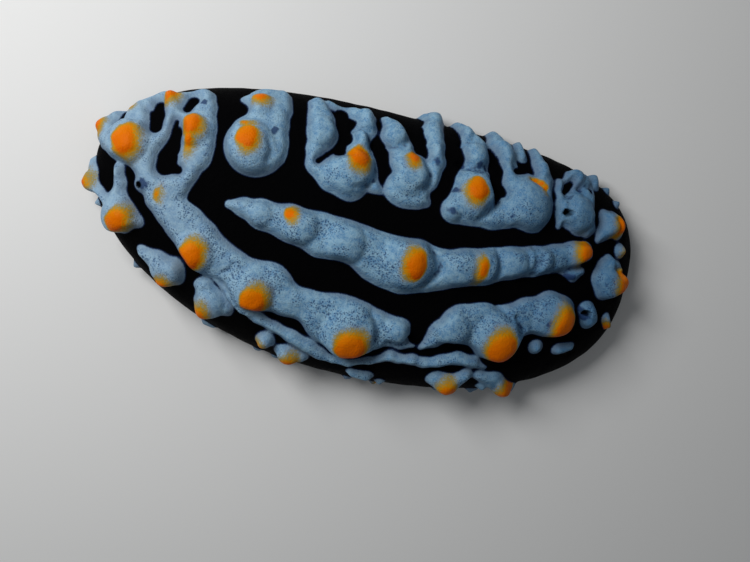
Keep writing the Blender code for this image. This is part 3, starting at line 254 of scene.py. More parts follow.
# Orange caps: (along, across, half length, half breadth)
CAPS = [
    (-34.5, -0.57, 0.70, 0.95), (-34.2, 0.74, 0.90, 1.10), (-30.6, 0.30, 1.38, 1.76),
    (-31.4, 0.75, 0.37, 0.33), (-27.1, 0.75, 0.80, 0.98), (-24.0, 0.48, 1.19, 1.34),
    (-24.1, 0.37, 0.53, 1.06), (-30.0, -0.41, 1.21, 1.39), (-26.5, -0.05, 0.36, 0.62),
    (-21.4, -0.33, 1.47, 1.75), (-13.5, -0.43, 1.65, 1.78), (-17.7, 0.44, 1.28, 1.35),
    (-18.2, 0.53, 0.59, 0.33), (-17.0, 0.72, 0.96, 0.72), (-11.4, 0.09, 0.70, 0.76),
    (-1.3, -0.51, 2.04, 1.93), (-4.7, 0.48, 1.35, 1.57), (1.8, 0.555, 0.82, 1.05),
    (4.0, -0.01, 1.41, 1.88), (9.8, 0.45, 1.39, 1.52), (17.7, 0.625, 0.50, 0.38),
    (18.3, 0.61, 0.50, 0.42), (18.9, 0.58, 0.45, 0.55), (12.4, 0.03, 0.73, 1.48),
    (25.6, 0.24, 1.45, 1.50), (30.0, 0.54, 0.95, 1.45), (31.8, 0.05, 1.45, 1.70),
    (32.1, 0.37, 0.50, 0.60), (16.9, -0.41, 1.92, 2.28), (24.3, -0.28, 1.55, 2.45),
    (-24.0, -0.64, 1.09, 1.13), (-19.1, -0.68, 1.09, 1.46), (-11.7, -0.73, 0.62, 0.66),
    (-7.8, -0.77, 1.12, 1.25), (4.7, -0.89, 0.72, 0.61), (12.4, -0.73, 1.22, 1.11),
    (20.4, -0.79, 1.39, 1.32), (31.9, -0.46, 0.67, 0.72),
]

# Small flat warts below the pads of the right margin, on the flank that the photograph doesn't show
WART_BAND = (-0.94, -0.87)
WART_RADII = (0.42, 0.75)
draw = np.random.RandomState(41)
for name in [name for name in PADS if name.startswith("right_margin")]:
    along = min(PADS[name], key=lambda link: link[1])[0] + draw.uniform(-1.2, 0.4)
    across = draw.uniform(*WART_BAND)
    first_end = (along, across, draw.uniform(*WART_RADII))
    PADS[name + "_wart"] = [first_end, (along + draw.uniform(0.2, 1.2), across + draw.uniform(-0.02, 0.02),
                                        WART_RADII[0])]


def smooth_step(value):
    value = np.clip(value, 0.0, 1.0)
    return value * value * (3.0 - 2.0 * value)


def half_width(along, side):
    """Distance from the midline to the rim."""
    power = PLAN_ROUNDNESS[(side, "head" if along > 0 else "tail")]
    return HALF_WIDTHS[side] * max(1.0 - abs(along / HALF_LENGTH) ** power, 0.0) ** (1.0 / power)


def midline(along):
    """The body's own midline, which bows a little to its right."""
    return MIDLINE_BOW[0] + MIDLINE_BOW[1] * along + MIDLINE_BOW[2] * along ** 2


def end_taper(along):
    """1 along the body, falling to 0 in a round end."""
    return max(1.0 - abs(along / HALF_LENGTH) ** LENGTH_ROUNDNESS, 0.0) ** (1.0 / LENGTH_ROUNDNESS)


def back_section(along, across):
    """Points over the back at one place along it, for an array of places across."""
    turn = np.linspace(0.0, np.pi / 2, 121)
    y = np.zeros(len(across))
    z = np.zeros(len(across))
    for side, sign, power in (("left", 1.0, LEFT_ROUNDNESS), ("right", -1.0, RIGHT_ROUNDNESS)):
        curve_y = half_width(along, side) * np.sin(turn) ** (2.0 / power)
        curve_z = BACK_HEIGHT * end_taper(along) * np.cos(turn) ** (2.0 / power)
        length = np.concatenate([[0.0], np.cumsum(np.hypot(np.diff(curve_y), np.diff(curve_z)))])
        share = length / max(length[-1], 1e-9)
        chosen = across * sign >= 0.0
        y[chosen] = sign * np.interp(np.abs(across[chosen]), share, curve_y)
        z[chosen] = np.interp(np.abs(across[chosen]), share, curve_z)
    return np.stack([np.full(len(across), along), midline(along) + y, RIM_HEIGHT + z], axis=1)


def underside_section(along, across):
    """Points under the mantle: a rolled lip at the rim, then a slope up to a flat ceiling."""
    rise = float(smooth_step((HALF_LENGTH - abs(along)) / END_RISE))
    rim_bottom = RIM_HEIGHT - (RIM_HEIGHT - RIM_BOTTOM) * end_taper(along)
    ceiling = rim_bottom + (CEILING_HEIGHT - rim_bottom) * rise
    y = np.zeros(len(across))
    z = np.zeros(len(across))
    for side, sign in (("left", 1.0), ("right", -1.0)):
        width = half_width(along, side)
        lip = min(LIP_WIDTH, 0.3 * width) + 1e-6
        chosen = across * sign >= 0.0
        out = width * np.sin(np.abs(across[chosen]) * np.pi / 2)
        inside = width - lip - out
        slope = rim_bottom + (ceiling - rim_bottom) * smooth_step(
            inside / max(width - lip - FLAT_CEILING * width, 1e-6))
        round_lip = RIM_HEIGHT - (RIM_HEIGHT - rim_bottom) * np.sqrt(
            np.clip(1.0 - (np.maximum(-inside, 0.0) / lip) ** 2, 0.0, 1.0))
        y[chosen] = sign * out
        z[chosen] = np.where(inside >= 0.0, slope, round_lip)
    return np.stack([np.full(len(across), along), midline(along) + y, z], axis=1)


def place_on_back(along, across):
    """One point of the bare back."""
    return back_section(along, np.array([across]))[0]


def wobble(points, size, wavelength, seed):
    """A smooth uneven value round 0, made of sine waves in seeded directions."""
    draw = np.random.RandomState(seed)
    total = np.zeros(len(points))
    for _ in range(WOBBLE_WAVES):
        direction = draw.normal(size=3)
        direction *= 2.0 * np.pi / (np.linalg.norm(direction) * wavelength * draw.uniform(0.7, 1.5))
        total += np.sin(points @ direction + draw.uniform(0.0, 2.0 * np.pi))
    return size * total / math.sqrt(WOBBLE_WAVES)


def link_distance(points, start, end, start_radius, end_radius):
    """Distance from a link's axis, and the link's radius there."""
    step = end - start
    share = np.clip((points - start) @ step / max(step @ step, 1e-9), 0.0, 1.0)
    nearest = start + share[:, None] * step
    return np.linalg.norm(points - nearest, axis=1), start_radius + share * (end_radius - start_radius)


def smooth_union(first, second, blend_width):
    """The nearer of two distances, with the crease between them filled."""
    blend = np.clip(0.5 + 0.5 * (second - first) / blend_width, 0.0, 1.0)
    return second + (first - second) * blend - blend_width * blend * (1.0 - blend)


def close_to(points, centres, reach):
    """The points within reach of the box round some centres."""
    low = np.min(centres, axis=0) - reach
    high = np.max(centres, axis=0) + reach
    return np.flatnonzero(np.all((points > low) & (points < high), axis=1))


def chained(points, chains, blend_width):
    """Distance outside the nearest of some chains of links, and how high a rounded crown stands on them."""
    outside = np.full(len(points), FAR_OUTSIDE)
    crown = np.zeros(len(points))
    for links in chains.values():
        centres = [place_on_back(along, across) for along, across, _ in links]
        radii = [radius for _, _, radius in links]
        for first in range(max(len(links) - 1, 1)):
            last = min(first + 1, len(links) - 1)
            start, end = centres[first], centres[last]
            near = close_to(points, [start, end], max(radii[first], radii[last]) + FAR_OUTSIDE)
            distance, radius = link_distance(points[near], start, end, radii[first], radii[last])
            outside[near] = smooth_union(outside[near], distance - radius, blend_width)
            crown[near] = np.maximum(crown[near], radius * np.clip(1.0 - (distance / radius) ** 2, 0.0, 1.0))
    return outside, crown


def rounded(links):
    """The same chain with its corners rounded, in shorter links."""
    knots = np.array([links[0], *links, links[-1]])
    shares = np.arange(len(links), step=1.0 / FOLD_STEPS)[:-FOLD_STEPS + 1]
    curve = []
    for share in shares:
        first = min(int(share), len(links) - 2)
        before, start, end, after = knots[first:first + 4]
        t = share - first
        square = 2.0 * before - 5.0 * start + 4.0 * end - after
        cube = 3.0 * start - before - 3.0 * end + after
        curve.append(0.5 * (2.0 * start + (end - before) * t + square * t ** 2 + cube * t ** 3))
    return curve


def relief(points):
    """Height of the back at each point, and where its pads, caps, folds, stains and painted shade lie."""
    outside, crown = chained(points, PADS, PAD_BLEND)
    slot_outside, _ = chained(points, SLOTS, SLOT_BLEND)
    outside = np.maximum(outside, -slot_outside) + wobble(points, *OUTLINE_WOBBLE)
    bumps = CROWN_RISE * crown
    for along, across, radius in KNOBS:
        centre = place_on_back(along, across)
        near = close_to(points, [centre], radius)
        inside = np.clip(1.0 - np.sum((points[near] - centre) ** 2, axis=1) / radius ** 2, 0.0, 1.0)
        bumps[near] = np.maximum(bumps[near], KNOB_RISE * radius * inside ** KNOB_ROUNDNESS)
    cap_outside = np.full(len(points), FAR_OUTSIDE)
    cap_shade = np.zeros(len(points))
    cap_outward = np.zeros(len(points))
    for along, across, half_along, half_across in CAPS:
        centre = place_on_back(along, across)
        near = close_to(points, [centre], max(half_along, half_across) + FAR_OUTSIDE)
        offset = points[near] - centre
        crosswise = np.linalg.norm(offset[:, 1:], axis=1)
        share = np.sqrt((offset[:, 0] / half_along) ** 2 + (crosswise / half_across) ** 2)
        this_outside = (share - 1.0) * min(half_along, half_across)
        nearest = this_outside < cap_outside[near]
        cap_outside[near[nearest]] = this_outside[nearest]
        away = np.array([along / HALF_LENGTH, across, 0.0]) / math.hypot(along / HALF_LENGTH, across)
        cap_shade[near[nearest]] = (offset @ CAP_SHADE_SIDE)[nearest] / max(half_along, half_across)
        cap_outward[near[nearest]] = (offset @ away)[nearest] / max(half_along, half_across)
    cap_outside += wobble(points, *CAP_WOBBLE)
    folds = {name: rounded(links) for name, links in FOLDS.items()}
    fold = smooth_step((FOLD_WIDTH[0] - chained(points, folds, SLOT_BLEND)[0]) / FOLD_WIDTH[1])
    edge = np.clip(-outside / PAD_EDGE, 0.0, 1.0)
    caps = CAP_RISE * smooth_step(-cap_outside / CAP_SLOPE)
    height = (PAD_HEIGHT + bumps + caps) * np.sin(edge * np.pi / 2) - FOLD_DEPTH * fold
    height += wobble(points, *SURFACE_WOBBLE) * (0.4 + 0.6 * edge)
    stain = np.zeros(len(points))
    for along, across, radius in STAINS_AND_SHADE:
        distance = np.linalg.norm(points - place_on_back(along, across), axis=1)
        stain = np.maximum(stain, np.exp(-(distance / radius) ** 2))
    return height, {"pad_outside": outside, "cap_outside": cap_outside, "cap_shade": cap_shade,
                    "cap_outward": cap_outward, "fold": fold, "stain": stain}


def new_ball(name, sides, rings):
    """A round ball of radius 1, to draw a piece from."""
    bpy.ops.object.select_all(action="DESELECT")
    bpy.ops.mesh.primitive_uv_sphere_add(segments=sides, ring_count=rings, radius=1.0)
    bpy.context.object.name = name
    return bpy.context.object


def points_of(mesh):
    """A mesh's points, one row each."""
    points = np.empty(len(mesh.vertices) * 3)
    mesh.vertices.foreach_get("co", points)
    return points.reshape(-1, 3)


def bare_mantle(mesh):
    """The bare shield's points, drawn from a ball's, and 1 on its upper side to 0 beneath."""
    sphere = points_of(mesh)
    points = np.empty(sphere.shape)
    turn = np.arctan2(sphere[:, 1], sphere[:, 0]) / (2.0 * np.pi) % 1.0
    over = turn <= BACK_SHARE
    across = np.where(over, 1.0 - 2.0 * turn / BACK_SHARE,
                      2.0 * (turn - BACK_SHARE) / (1.0 - BACK_SHARE) - 1.0)
    for height in np.unique(sphere[:, 2].round(6)):
        ring = np.abs(sphere[:, 2] - height) < 1e-6
        along = HALF_LENGTH * height
        if abs(height) > 1.0 - 1e-7:
            points[ring] = (along, midline(along), RIM_HEIGHT)
            continue
        upper = ring & over
        lower = ring & ~over
        points[upper] = back_section(along, across[upper])
        points[lower] = underside_section(along, across[lower])
    round_lip = smooth_step((np.abs(across) - LIP_TURN[0]) / (LIP_TURN[1] - LIP_TURN[0]))
    return points, np.where(over, 1.0, round_lip)


def directions(mesh):
    """The outward direction at each point of a mesh."""
    normals = np.empty(len(mesh.vertices) * 3, np.float32)
    mesh.vertex_normals.foreach_get("vector", normals)
    return normals.reshape(-1, 3)


def move_points(mesh, points):
    mesh.vertices.foreach_set("co", np.asarray(points, np.float32).ravel())
    mesh.update()


def add_values(mesh, name, values):
    """Keep one value for each point, for the finish to read."""
    mesh.attributes.new(name, "FLOAT", "POINT").data.foreach_set("value", values.astype(np.float32))


mantle = new_ball("mantle_skin", MANTLE_COLUMNS, MANTLE_RINGS)
bare, upper_side = bare_mantle(mantle.data)
move_points(mantle.data, bare)
outward = directions(mantle.data)
rise, marks = relief(bare)
marks["pad_outside"] += FAR_OUTSIDE * (1.0 - upper_side)
marks["underside"] = 1.0 - upper_side
move_points(mantle.data, (bare + outward * (rise * upper_side)[:, None]) * MM)
for mark, values in marks.items():
    add_values(mantle.data, mark, values)
soften = mantle.modifiers.new("soften", "SMOOTH")
soften.iterations = SMOOTHING_PASSES
bpy.ops.object.modifier_apply(modifier=soften.name)
raised = points_of(mantle.data)
pit = np.zeros(len(bare))
for along, across, radius, depth in PITS.values():
    distance = np.linalg.norm(bare - place_on_back(along, across), axis=1) / radius
    sunk = smooth_step((PIT_WALL[1] - distance) / (PIT_WALL[1] - PIT_WALL[0]))
    raised[:, 2] -= sunk * depth * MM
    pit = np.maximum(pit, smooth_step((PIT_SHADE_SPAN[1] - distance) / (PIT_SHADE_SPAN[1] - PIT_SHADE_SPAN[0])))
move_points(mantle.data, raised)
add_values(mantle.data, "pit", pit)


def add_node(material, kind, inputs=None, **settings):
    """One shader node: its settings, then its inputs, each a value or another node's output."""
    made = material.node_tree.nodes.new("ShaderNode" + kind)
    for name, value in settings.items():
        setattr(made, name, value)
    for name, value in (inputs or {}).items():
        if isinstance(value, bpy.types.NodeSocket):
            material.node_tree.links.new(value, made.inputs[name])
        else:
            made.inputs[name].default_value = value
    return made


def new_material(name, roughness, specular):
    """A material with two even settings, its shader, and the place on the piece that patterns read."""
    material = bpy.data.materials.new(name)
    material.use_nodes = True
    shader = material.node_tree.nodes["Principled BSDF"]
    shader.inputs["Roughness"].default_value = roughness
    shader.inputs["Specular IOR Level"].default_value = specular
    return material, shader, add_node(material, "TexCoord").outputs["Object"]


def ramp(material, value, low, high, start=0.0, end=1.0):
    """A smooth change from start to end as the value goes from low to high."""
    return add_node(material, "MapRange", {0: value, 1: low, 2: high, 3: start, 4: end},
                    interpolation_type="SMOOTHSTEP").outputs[0]


def maths(material, operation, first, second=0.0):
    return add_node(material, "Math", {0: first, 1: second}, operation=operation).outputs[0]


def blend(material, share, first, second):
    """A colour between two others."""
    return add_node(material, "Mix", {0: share, 6: first, 7: second}, data_type="RGBA").outputs[2]


def pigment(red, green, blue):
    """A colour from its screen values, 0 to 255."""
    values = [channel / 255.0 for channel in (red, green, blue)]
    return (*[v / 12.92 if v <= 0.04045 else ((v + 0.055) / 1.055) ** 2.4 for v in values], 1.0)


def mark(material, name):
    """The value that a mesh keeps under a name."""
    return add_node(material, "Attribute", attribute_name=name).outputs["Fac"]


def noise(material, place, scale, detail=2.0):
    """An uneven value round 0.5."""
    return add_node(material, "TexNoise", {"Vector": place, "Scale": scale, "Detail": detail}).outputs["Fac"]


def specks(material, place, crowd, scale, size, strength):
    """Round dots of uneven size; more and larger ones where the crowd value is high."""
    cells = add_node(material, "TexVoronoi", {"Vector": place, "Scale": scale, "Randomness": 1.0})
    reach = maths(material, "MULTIPLY", crowd, size)
    outside = maths(material, "SUBTRACT", cells.outputs["Distance"], reach)
    return maths(material, "MULTIPLY", ramp(material, outside, -0.09, 0.05, 1.0, 0.0), strength)


PAD_BLUE, PAD_PALE, PAD_GRAIN = pigment(90, 136, 174), pigment(128, 168, 194), pigment(166, 192, 204)
TAIL_TONE_AND_LIGHT_GREY, HEAD_TONE_AND_SHADE_BLUE, PAD_DUSK = pigment(156, 174, 190), pigment(46, 94, 134), pigment(100, 116, 138)
SPECK_NAVY, STAIN_AND_SHADE_NAVY, EDGE_NAVY = pigment(36, 64, 102), pigment(16, 42, 88), pigment(16, 32, 64)
CAP_LIT, CAP_ORANGE, CAP_SHADED = pigment(214, 124, 2), pigment(218, 106, 0), pigment(190, 72, 0)
FRAY_GREY, FRAY_OLIVE, FRAY_OCHRE = pigment(150, 152, 158), pigment(146, 132, 60), pigment(190, 132, 10)
VELVET_BLACK, UNDERSIDE_GREY, PIT_SHADE_BLACK = pigment(0, 0, 1), pigment(62, 68, 78), pigment(1, 2, 4)
BROAD_SCALE, CLUMP_SCALE, MOTTLE_SCALE, GRAIN_SCALE = 190.0, 420.0, 1300.0, 5200.0
PAD_ROUGHNESS, GROUND_ROUGHNESS, MANTLE_SPECULAR = 0.42, 0.85, 0.04
# Specks: scale, size and strength
FINE_SPECKS, MIDDLING_SPECKS, LARGE_SPECKS = (4300.0, 0.42, 0.62), (2500.0, 0.30, 0.78), (1350.0, 0.22, 0.88)


def mantle_finish():
    """Blue-grey pads with fine navy specks and granular orange caps, on velvet black."""
    material, shader, place = new_material("mantle_skin", GROUND_ROUGHNESS, MANTLE_SPECULAR)
    pad, cap = mark(material, "pad_outside"), mark(material, "cap_outside")
    cap_shade = mark(material, "cap_shade")
    broad = noise(material, place, BROAD_SCALE)
    mottle = noise(material, place, MOTTLE_SCALE, 3.0)
    grain = noise(material, place, GRAIN_SCALE, 3.0)
    uneven = maths(material, "SUBTRACT", grain, 0.5)
    patchy = maths(material, "SUBTRACT", mottle, 0.5)

    clumps = noise(material, place, CLUMP_SCALE)
    body = add_node(material, "SeparateXYZ", {"Vector": place}).outputs
    crowd = maths(material, "MULTIPLY", ramp(material, clumps, 0.37, 0.58, 0.25, 1.0),
                  ramp(material, body["Y"], 0.004, 0.013, 1.0, 0.55))
    crowd = maths(material, "MULTIPLY", crowd, ramp(material, cap, 0.05, 0.45, 0.2, 1.0))
    crowd = maths(material, "MULTIPLY", crowd, ramp(material, pad, -0.9, -0.2, 1.0, 0.5))
    few = maths(material, "MULTIPLY", crowd, ramp(material, broad, 0.42, 0.58))
    speck = maths(material, "MAXIMUM", specks(material, place, crowd, *FINE_SPECKS),
                  specks(material, place, crowd, *MIDDLING_SPECKS))
    speck = maths(material, "MAXIMUM", speck, specks(material, place, few, *LARGE_SPECKS))

    blue = blend(material, ramp(material, mottle, 0.33, 0.67), PAD_BLUE, PAD_PALE)
    blue = blend(material, ramp(material, grain, 0.36, 0.68, 0.0, 0.34), blue, PAD_GRAIN)
    # Paler and greyer towards the tail, darker and bluer towards the head: partly the animal's own tone,
    # partly painted light falling off from the tail end
    tail = ramp(material, body["X"], -0.034, -0.004, 0.40, 0.0)
    blue = blend(material, tail, blue, TAIL_TONE_AND_LIGHT_GREY)
    head = ramp(material, body["X"], 0.003, 0.030, 0.0, 0.62)
    blue = blend(material, head, blue, HEAD_TONE_AND_SHADE_BLUE)
    dusky = maths(material, "MULTIPLY", ramp(material, pad, -0.9, -0.05),
                  ramp(material, broad, 0.35, 0.6, 0.25, 0.7))
    blue = blend(material, dusky, blue, PAD_DUSK)
    blue = blend(material, speck, blue, SPECK_NAVY)
    # Navy from the stains, and navy painted into the folds at half strength: the latter is painted shade in
    # the creases where one knob overlaps the next
    stain = maths(material, "MAXIMUM", mark(material, "stain"),
                  maths(material, "MULTIPLY", mark(material, "fold"), 0.50))
    stain = maths(material, "ADD", stain, maths(material, "MULTIPLY", patchy, 1.8))
    blue = blend(material, ramp(material, stain, 0.30, 0.85, 0.0, 0.86), blue, STAIN_AND_SHADE_NAVY)

    # The caps are lighter on their upper left and darker on their lower right side: painted light and shade,
    # as if lit from the upper left
    slope = maths(material, "ADD", cap_shade, maths(material, "MULTIPLY", uneven, 0.8))
    orange = blend(material, ramp(material, slope, -1.0, 0.0), CAP_LIT, CAP_ORANGE)
    orange = blend(material, ramp(material, slope, 0.1, 1.0), orange, CAP_SHADED)
    spread = ramp(material, mark(material, "cap_outward"), -0.9, 0.7, 0.55, 0.14)
    fraying = maths(material, "MULTIPLY", uneven, maths(material, "MULTIPLY", spread, 2.2))
    frayed = maths(material, "DIVIDE", maths(material, "ADD", cap, fraying), spread)
    pads = blend(material, ramp(material, frayed, 0.3, 1.7, 0.45, 0.0), blue, FRAY_GREY)
    pads = blend(material, ramp(material, frayed, 0.1, 1.2, 0.9, 0.0), pads, FRAY_OLIVE)
    pads = blend(material, ramp(material, frayed, -0.5, 0.4, 1.0, 0.0), pads, FRAY_OCHRE)
    pads = blend(material, ramp(material, frayed, -1.3, -0.3, 1.0, 0.0), pads, orange)

    edge = maths(material, "ADD", pad, maths(material, "MULTIPLY", uneven, 0.14))
    rimmed = blend(material, ramp(material, edge, -0.16, -0.02), pads, EDGE_NAVY)
    under = ramp(material, mark(material, "underside"), 0.75, 1.0)
    ground = blend(material, under, VELVET_BLACK, UNDERSIDE_GREY)
    colour = blend(material, ramp(material, edge, -0.05, 0.07), rimmed, ground)
    # The pits are painted black inside and a little past their rims: painted shade in the holes
    colour = blend(material, mark(material, "pit"), colour, PIT_SHADE_BLACK)
    material.node_tree.links.new(colour, shader.inputs["Base Color"])
    roughness = ramp(material, edge, -0.1, 0.1, PAD_ROUGHNESS, GROUND_ROUGHNESS)
    material.node_tree.links.new(roughness, shader.inputs["Roughness"])
    relief_height = maths(material, "ADD", grain, maths(material, "MULTIPLY", mottle, 1.6))
    relief_height = maths(material, "SUBTRACT", relief_height, maths(material, "MULTIPLY", speck, 0.4))
    bump = add_node(material, "Bump", {"Height": relief_height, "Strength": 0.5, "Distance": 0.00014})
    material.node_tree.links.new(bump.outputs["Normal"], shader.inputs["Normal"])
    return material


mantle.data.materials.append(mantle_finish())
bpy.ops.object.shade_smooth()
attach(mantle, "root")
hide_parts("mantle_tail", "mantle_rear", "mantle_middle", "mantle_fore", "mantle_head")

# Foot and head: one soft grey body that grows from the shield's underside. Its flat sole creeps on the
# floor, with a ragged black line along it, and the small head has a mouth pore and two blunt oral
# tentacles, which are thick outgrowths of the same skin with yellow tips.
FOOT_MIDDLE = -1.5
FOOT_REACH = (28.0, 9.0)
FOOT_ROUNDNESS = 2.6
# From the middle of the sole up to the top: share of the half turn, share of the plan, inset and height
FOOT_PROFILE = [(0.0, 0.0, 0.0, 0.0), (0.32, 0.93, 0.0, 0.0), (0.38, 1.0, 0.25, 0.0),
                (0.43, 1.0, 0.06, 0.12), (0.47, 1.0, 0.0, 0.35), (0.51, 1.0, 0.12, 0.62),
                (0.56, 1.0, 0.65, 0.95), (0.62, 1.0, 0.95, 1.4), (0.80, 1.0, 0.85, 4.0),
                (0.84, 1.0, 1.2, 4.3), (1.0, 0.0, 0.0, 4.3)]
HEAD_MIDDLE = (26.9, 0.6)
HEAD_REACH = (3.1, 3.7)
HEAD_ROUNDNESS = 2.2
HEAD_PROFILE = [(0.0, 0.0, 0.0, 0.45), (0.22, 0.75, 0.0, 0.5), (0.36, 1.0, 0.35, 0.85),
                (0.48, 1.0, 0.0, 1.6), (0.60, 1.0, 0.05, 2.4), (0.76, 1.0, 0.6, 3.5),
                (0.86, 1.0, 0.7, 4.3), (1.0, 0.0, 0.0, 4.3)]
TENTACLE_ANGLE = math.radians(42.0)
TENTACLE_SPAN = (1.2, 5.5)
TENTACLE_RADII = (1.0, 0.55)
TENTACLE_HEIGHT = 1.9
TENTACLE_FLATNESS = 0.85
MOUTH = (30.0, 0.6, 1.3)
MOUTH_RADIUS = 0.7
MOUTH_DEPTH = 0.7
SKIN_GRID = 0.24
SKIN_SMOOTHING = 6
FLANK_WRINKLE = (0.07, 1.6, 31)
WRINKLE_STRETCH = (1.0, 0.5, 0.6)
WRINKLE_HEIGHTS = (0.15, 0.65)
SOLE_FLAT = 0.12
SOLE_DROP = 0.06
# The sole's line: its ends along the body and half its width
SOLE_LINE = (-21.0, 17.0, 0.75)
LINE_WOBBLE = (0.3, 2.4, 33)
# The tentacles' tips, as distances from the head's middle
TIP_START = 4.1
TIP_EDGE = 0.5
TIP_WOBBLE = (0.2, 0.9, 35)


def drawn_body(name, middle, reach, roundness, profile, sides, rings):
    """A closed body drawn from a sphere: round in plan, with the given profile from sole to top."""
    body = new_ball(name, sides, rings)
    ball = points_of(body.data)
    turn = np.arctan2(ball[:, 1], ball[:, 0])
    up = np.arccos(np.clip(-ball[:, 2], -1.0, 1.0)) / np.pi
    steps, shares, insets, heights = np.array(profile).T
    share = np.interp(up, steps, shares)
    inset = np.interp(up, steps, insets)
    out = np.abs(np.stack([np.cos(turn), np.sin(turn)], axis=1)) ** (2.0 / roundness)
    out *= np.sign(np.stack([np.cos(turn), np.sin(turn)], axis=1))
    plan = out * (np.array(reach) - inset[:, None]) * share[:, None] + np.array(middle)
    points = np.column_stack([plan, np.interp(up, steps, heights)])
    move_points(body.data, points * MM)
    return body


foot = drawn_body("foot_and_head", (FOOT_MIDDLE, 0.0), FOOT_REACH, FOOT_ROUNDNESS, FOOT_PROFILE, 160, 96)
foot_points = points_of(foot.data)
foot_points[:, 1] += midline(foot_points[:, 0] / MM) * MM
move_points(foot.data, foot_points)
head = drawn_body("head", HEAD_MIDDLE, HEAD_REACH, HEAD_ROUNDNESS, HEAD_PROFILE, 48, 40)
tentacles = []
for side in (1.0, -1.0):
    tentacle = new_ball("tentacle", 32, 32)
    outward = Vector((math.cos(TENTACLE_ANGLE), side * math.sin(TENTACLE_ANGLE), 0.0))
    sideways = Vector((-outward.y, outward.x, 0.0))
    for vert in tentacle.data.vertices:
        share = 0.5 + 0.5 * vert.co.z
        thickness = TENTACLE_RADII[0] + (TENTACLE_RADII[1] - TENTACLE_RADII[0]) * share
        thickness /= max(math.sqrt(1.0 - min(abs(vert.co.z), 0.999) ** 2), 1e-3)
        thickness *= (1.0 - abs(vert.co.z) ** 6) ** 0.5
        along = TENTACLE_SPAN[0] + (TENTACLE_SPAN[1] - TENTACLE_SPAN[0]) * share
        base = Vector((*HEAD_MIDDLE, TENTACLE_HEIGHT)) + outward * along
        upward = Vector((0.0, 0.0, vert.co.y * thickness * TENTACLE_FLATNESS))
        vert.co = (base + sideways * vert.co.x * thickness + upward) * MM
    tentacles.append(tentacle)
bpy.ops.object.select_all(action="DESELECT")
for piece in (foot, head, *tentacles):
    piece.select_set(True)
bpy.context.view_layer.objects.active = foot
bpy.ops.object.join()
merge = foot.modifiers.new("one_skin", "REMESH")
merge.mode = "VOXEL"
merge.voxel_size = SKIN_GRID * MM
soften = foot.modifiers.new("soften", "SMOOTH")
soften.iterations = SKIN_SMOOTHING
for modifier in (merge, soften):
    bpy.ops.object.modifier_apply(modifier=modifier.name)
skin = points_of(foot.data) / MM
facing = directions(foot.data)
flank = smooth_step((skin[:, 2] - WRINKLE_HEIGHTS[0]) / (WRINKLE_HEIGHTS[1] - WRINKLE_HEIGHTS[0]))
skin += facing * (flank * wobble(skin * WRINKLE_STRETCH, *FLANK_WRINKLE))[:, None]
to_mouth = np.linalg.norm((skin - MOUTH) / (1.0, 1.0, 0.8), axis=1) / MOUTH_RADIUS
skin[:, 0] -= MOUTH_DEPTH * smooth_step(1.25 - to_mouth)
skin[:, 2] = np.where(skin[:, 2] < SOLE_FLAT, np.maximum(skin[:, 2] - SOLE_DROP, 0.0), skin[:, 2])
move_points(foot.data, skin * MM)
from_line = np.abs(skin[:, 1] - midline(skin[:, 0])) - SOLE_LINE[2] + wobble(skin, *LINE_WOBBLE)
past_end = np.maximum(SOLE_LINE[0] - skin[:, 0], skin[:, 0] - SOLE_LINE[1])
sole_line = smooth_step(0.5 - 2.0 * np.maximum(from_line, past_end)) * (skin[:, 2] < 0.05)
add_values(foot.data, "sole_line", sole_line)
from_head = np.linalg.norm(skin[:, :2] - HEAD_MIDDLE, axis=1) + wobble(skin, *TIP_WOBBLE)
add_values(foot.data, "tip", smooth_step((from_head - TIP_START) / TIP_EDGE) * (skin[:, 0] > HEAD_MIDDLE[0]))
add_values(foot.data, "mouth", smooth_step(1.1 - to_mouth))


FLESH_GREY, FLESH_PALE, FLESH_GRAIN = pigment(96, 104, 116), pigment(122, 130, 140), pigment(150, 158, 166)
MOUTH_SHADE_GREY, SOLE_BLACK, TIP_YELLOW = pigment(40, 44, 52), pigment(12, 13, 17), pigment(204, 138, 18)


def foot_finish():
    """Pale grey flesh with a black line along the sole, yellow tentacle tips, and painted shade in the mouth
    pore.
    """
    material, shader, place = new_material("foot_skin", 0.45, 0.2)
    broad = noise(material, place, 320.0, 3.0)
    grain = noise(material, place, 2600.0, 3.0)
    grey = blend(material, ramp(material, broad, 0.35, 0.65), FLESH_GREY, FLESH_PALE)
    grey = blend(material, ramp(material, grain, 0.35, 0.7, 0.0, 0.4), grey, FLESH_GRAIN)
    # The mouth pore is painted dark grey: painted shade in the hollow
    grey = blend(material, mark(material, "mouth"), grey, MOUTH_SHADE_GREY)
    grey = blend(material, mark(material, "sole_line"), grey, SOLE_BLACK)
    grey = blend(material, mark(material, "tip"), grey, TIP_YELLOW)
    material.node_tree.links.new(grey, shader.inputs["Base Color"])
    bump = add_node(material, "Bump", {"Height": grain, "Strength": 0.3, "Distance": 0.00010})
    material.node_tree.links.new(bump.outputs["Normal"], shader.inputs["Normal"])
    return material


foot.data.materials.append(foot_finish())
bpy.ops.object.shade_smooth()
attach(foot, "root")
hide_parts("foot", "head", "oral_tentacle_left", "oral_tentacle_right")

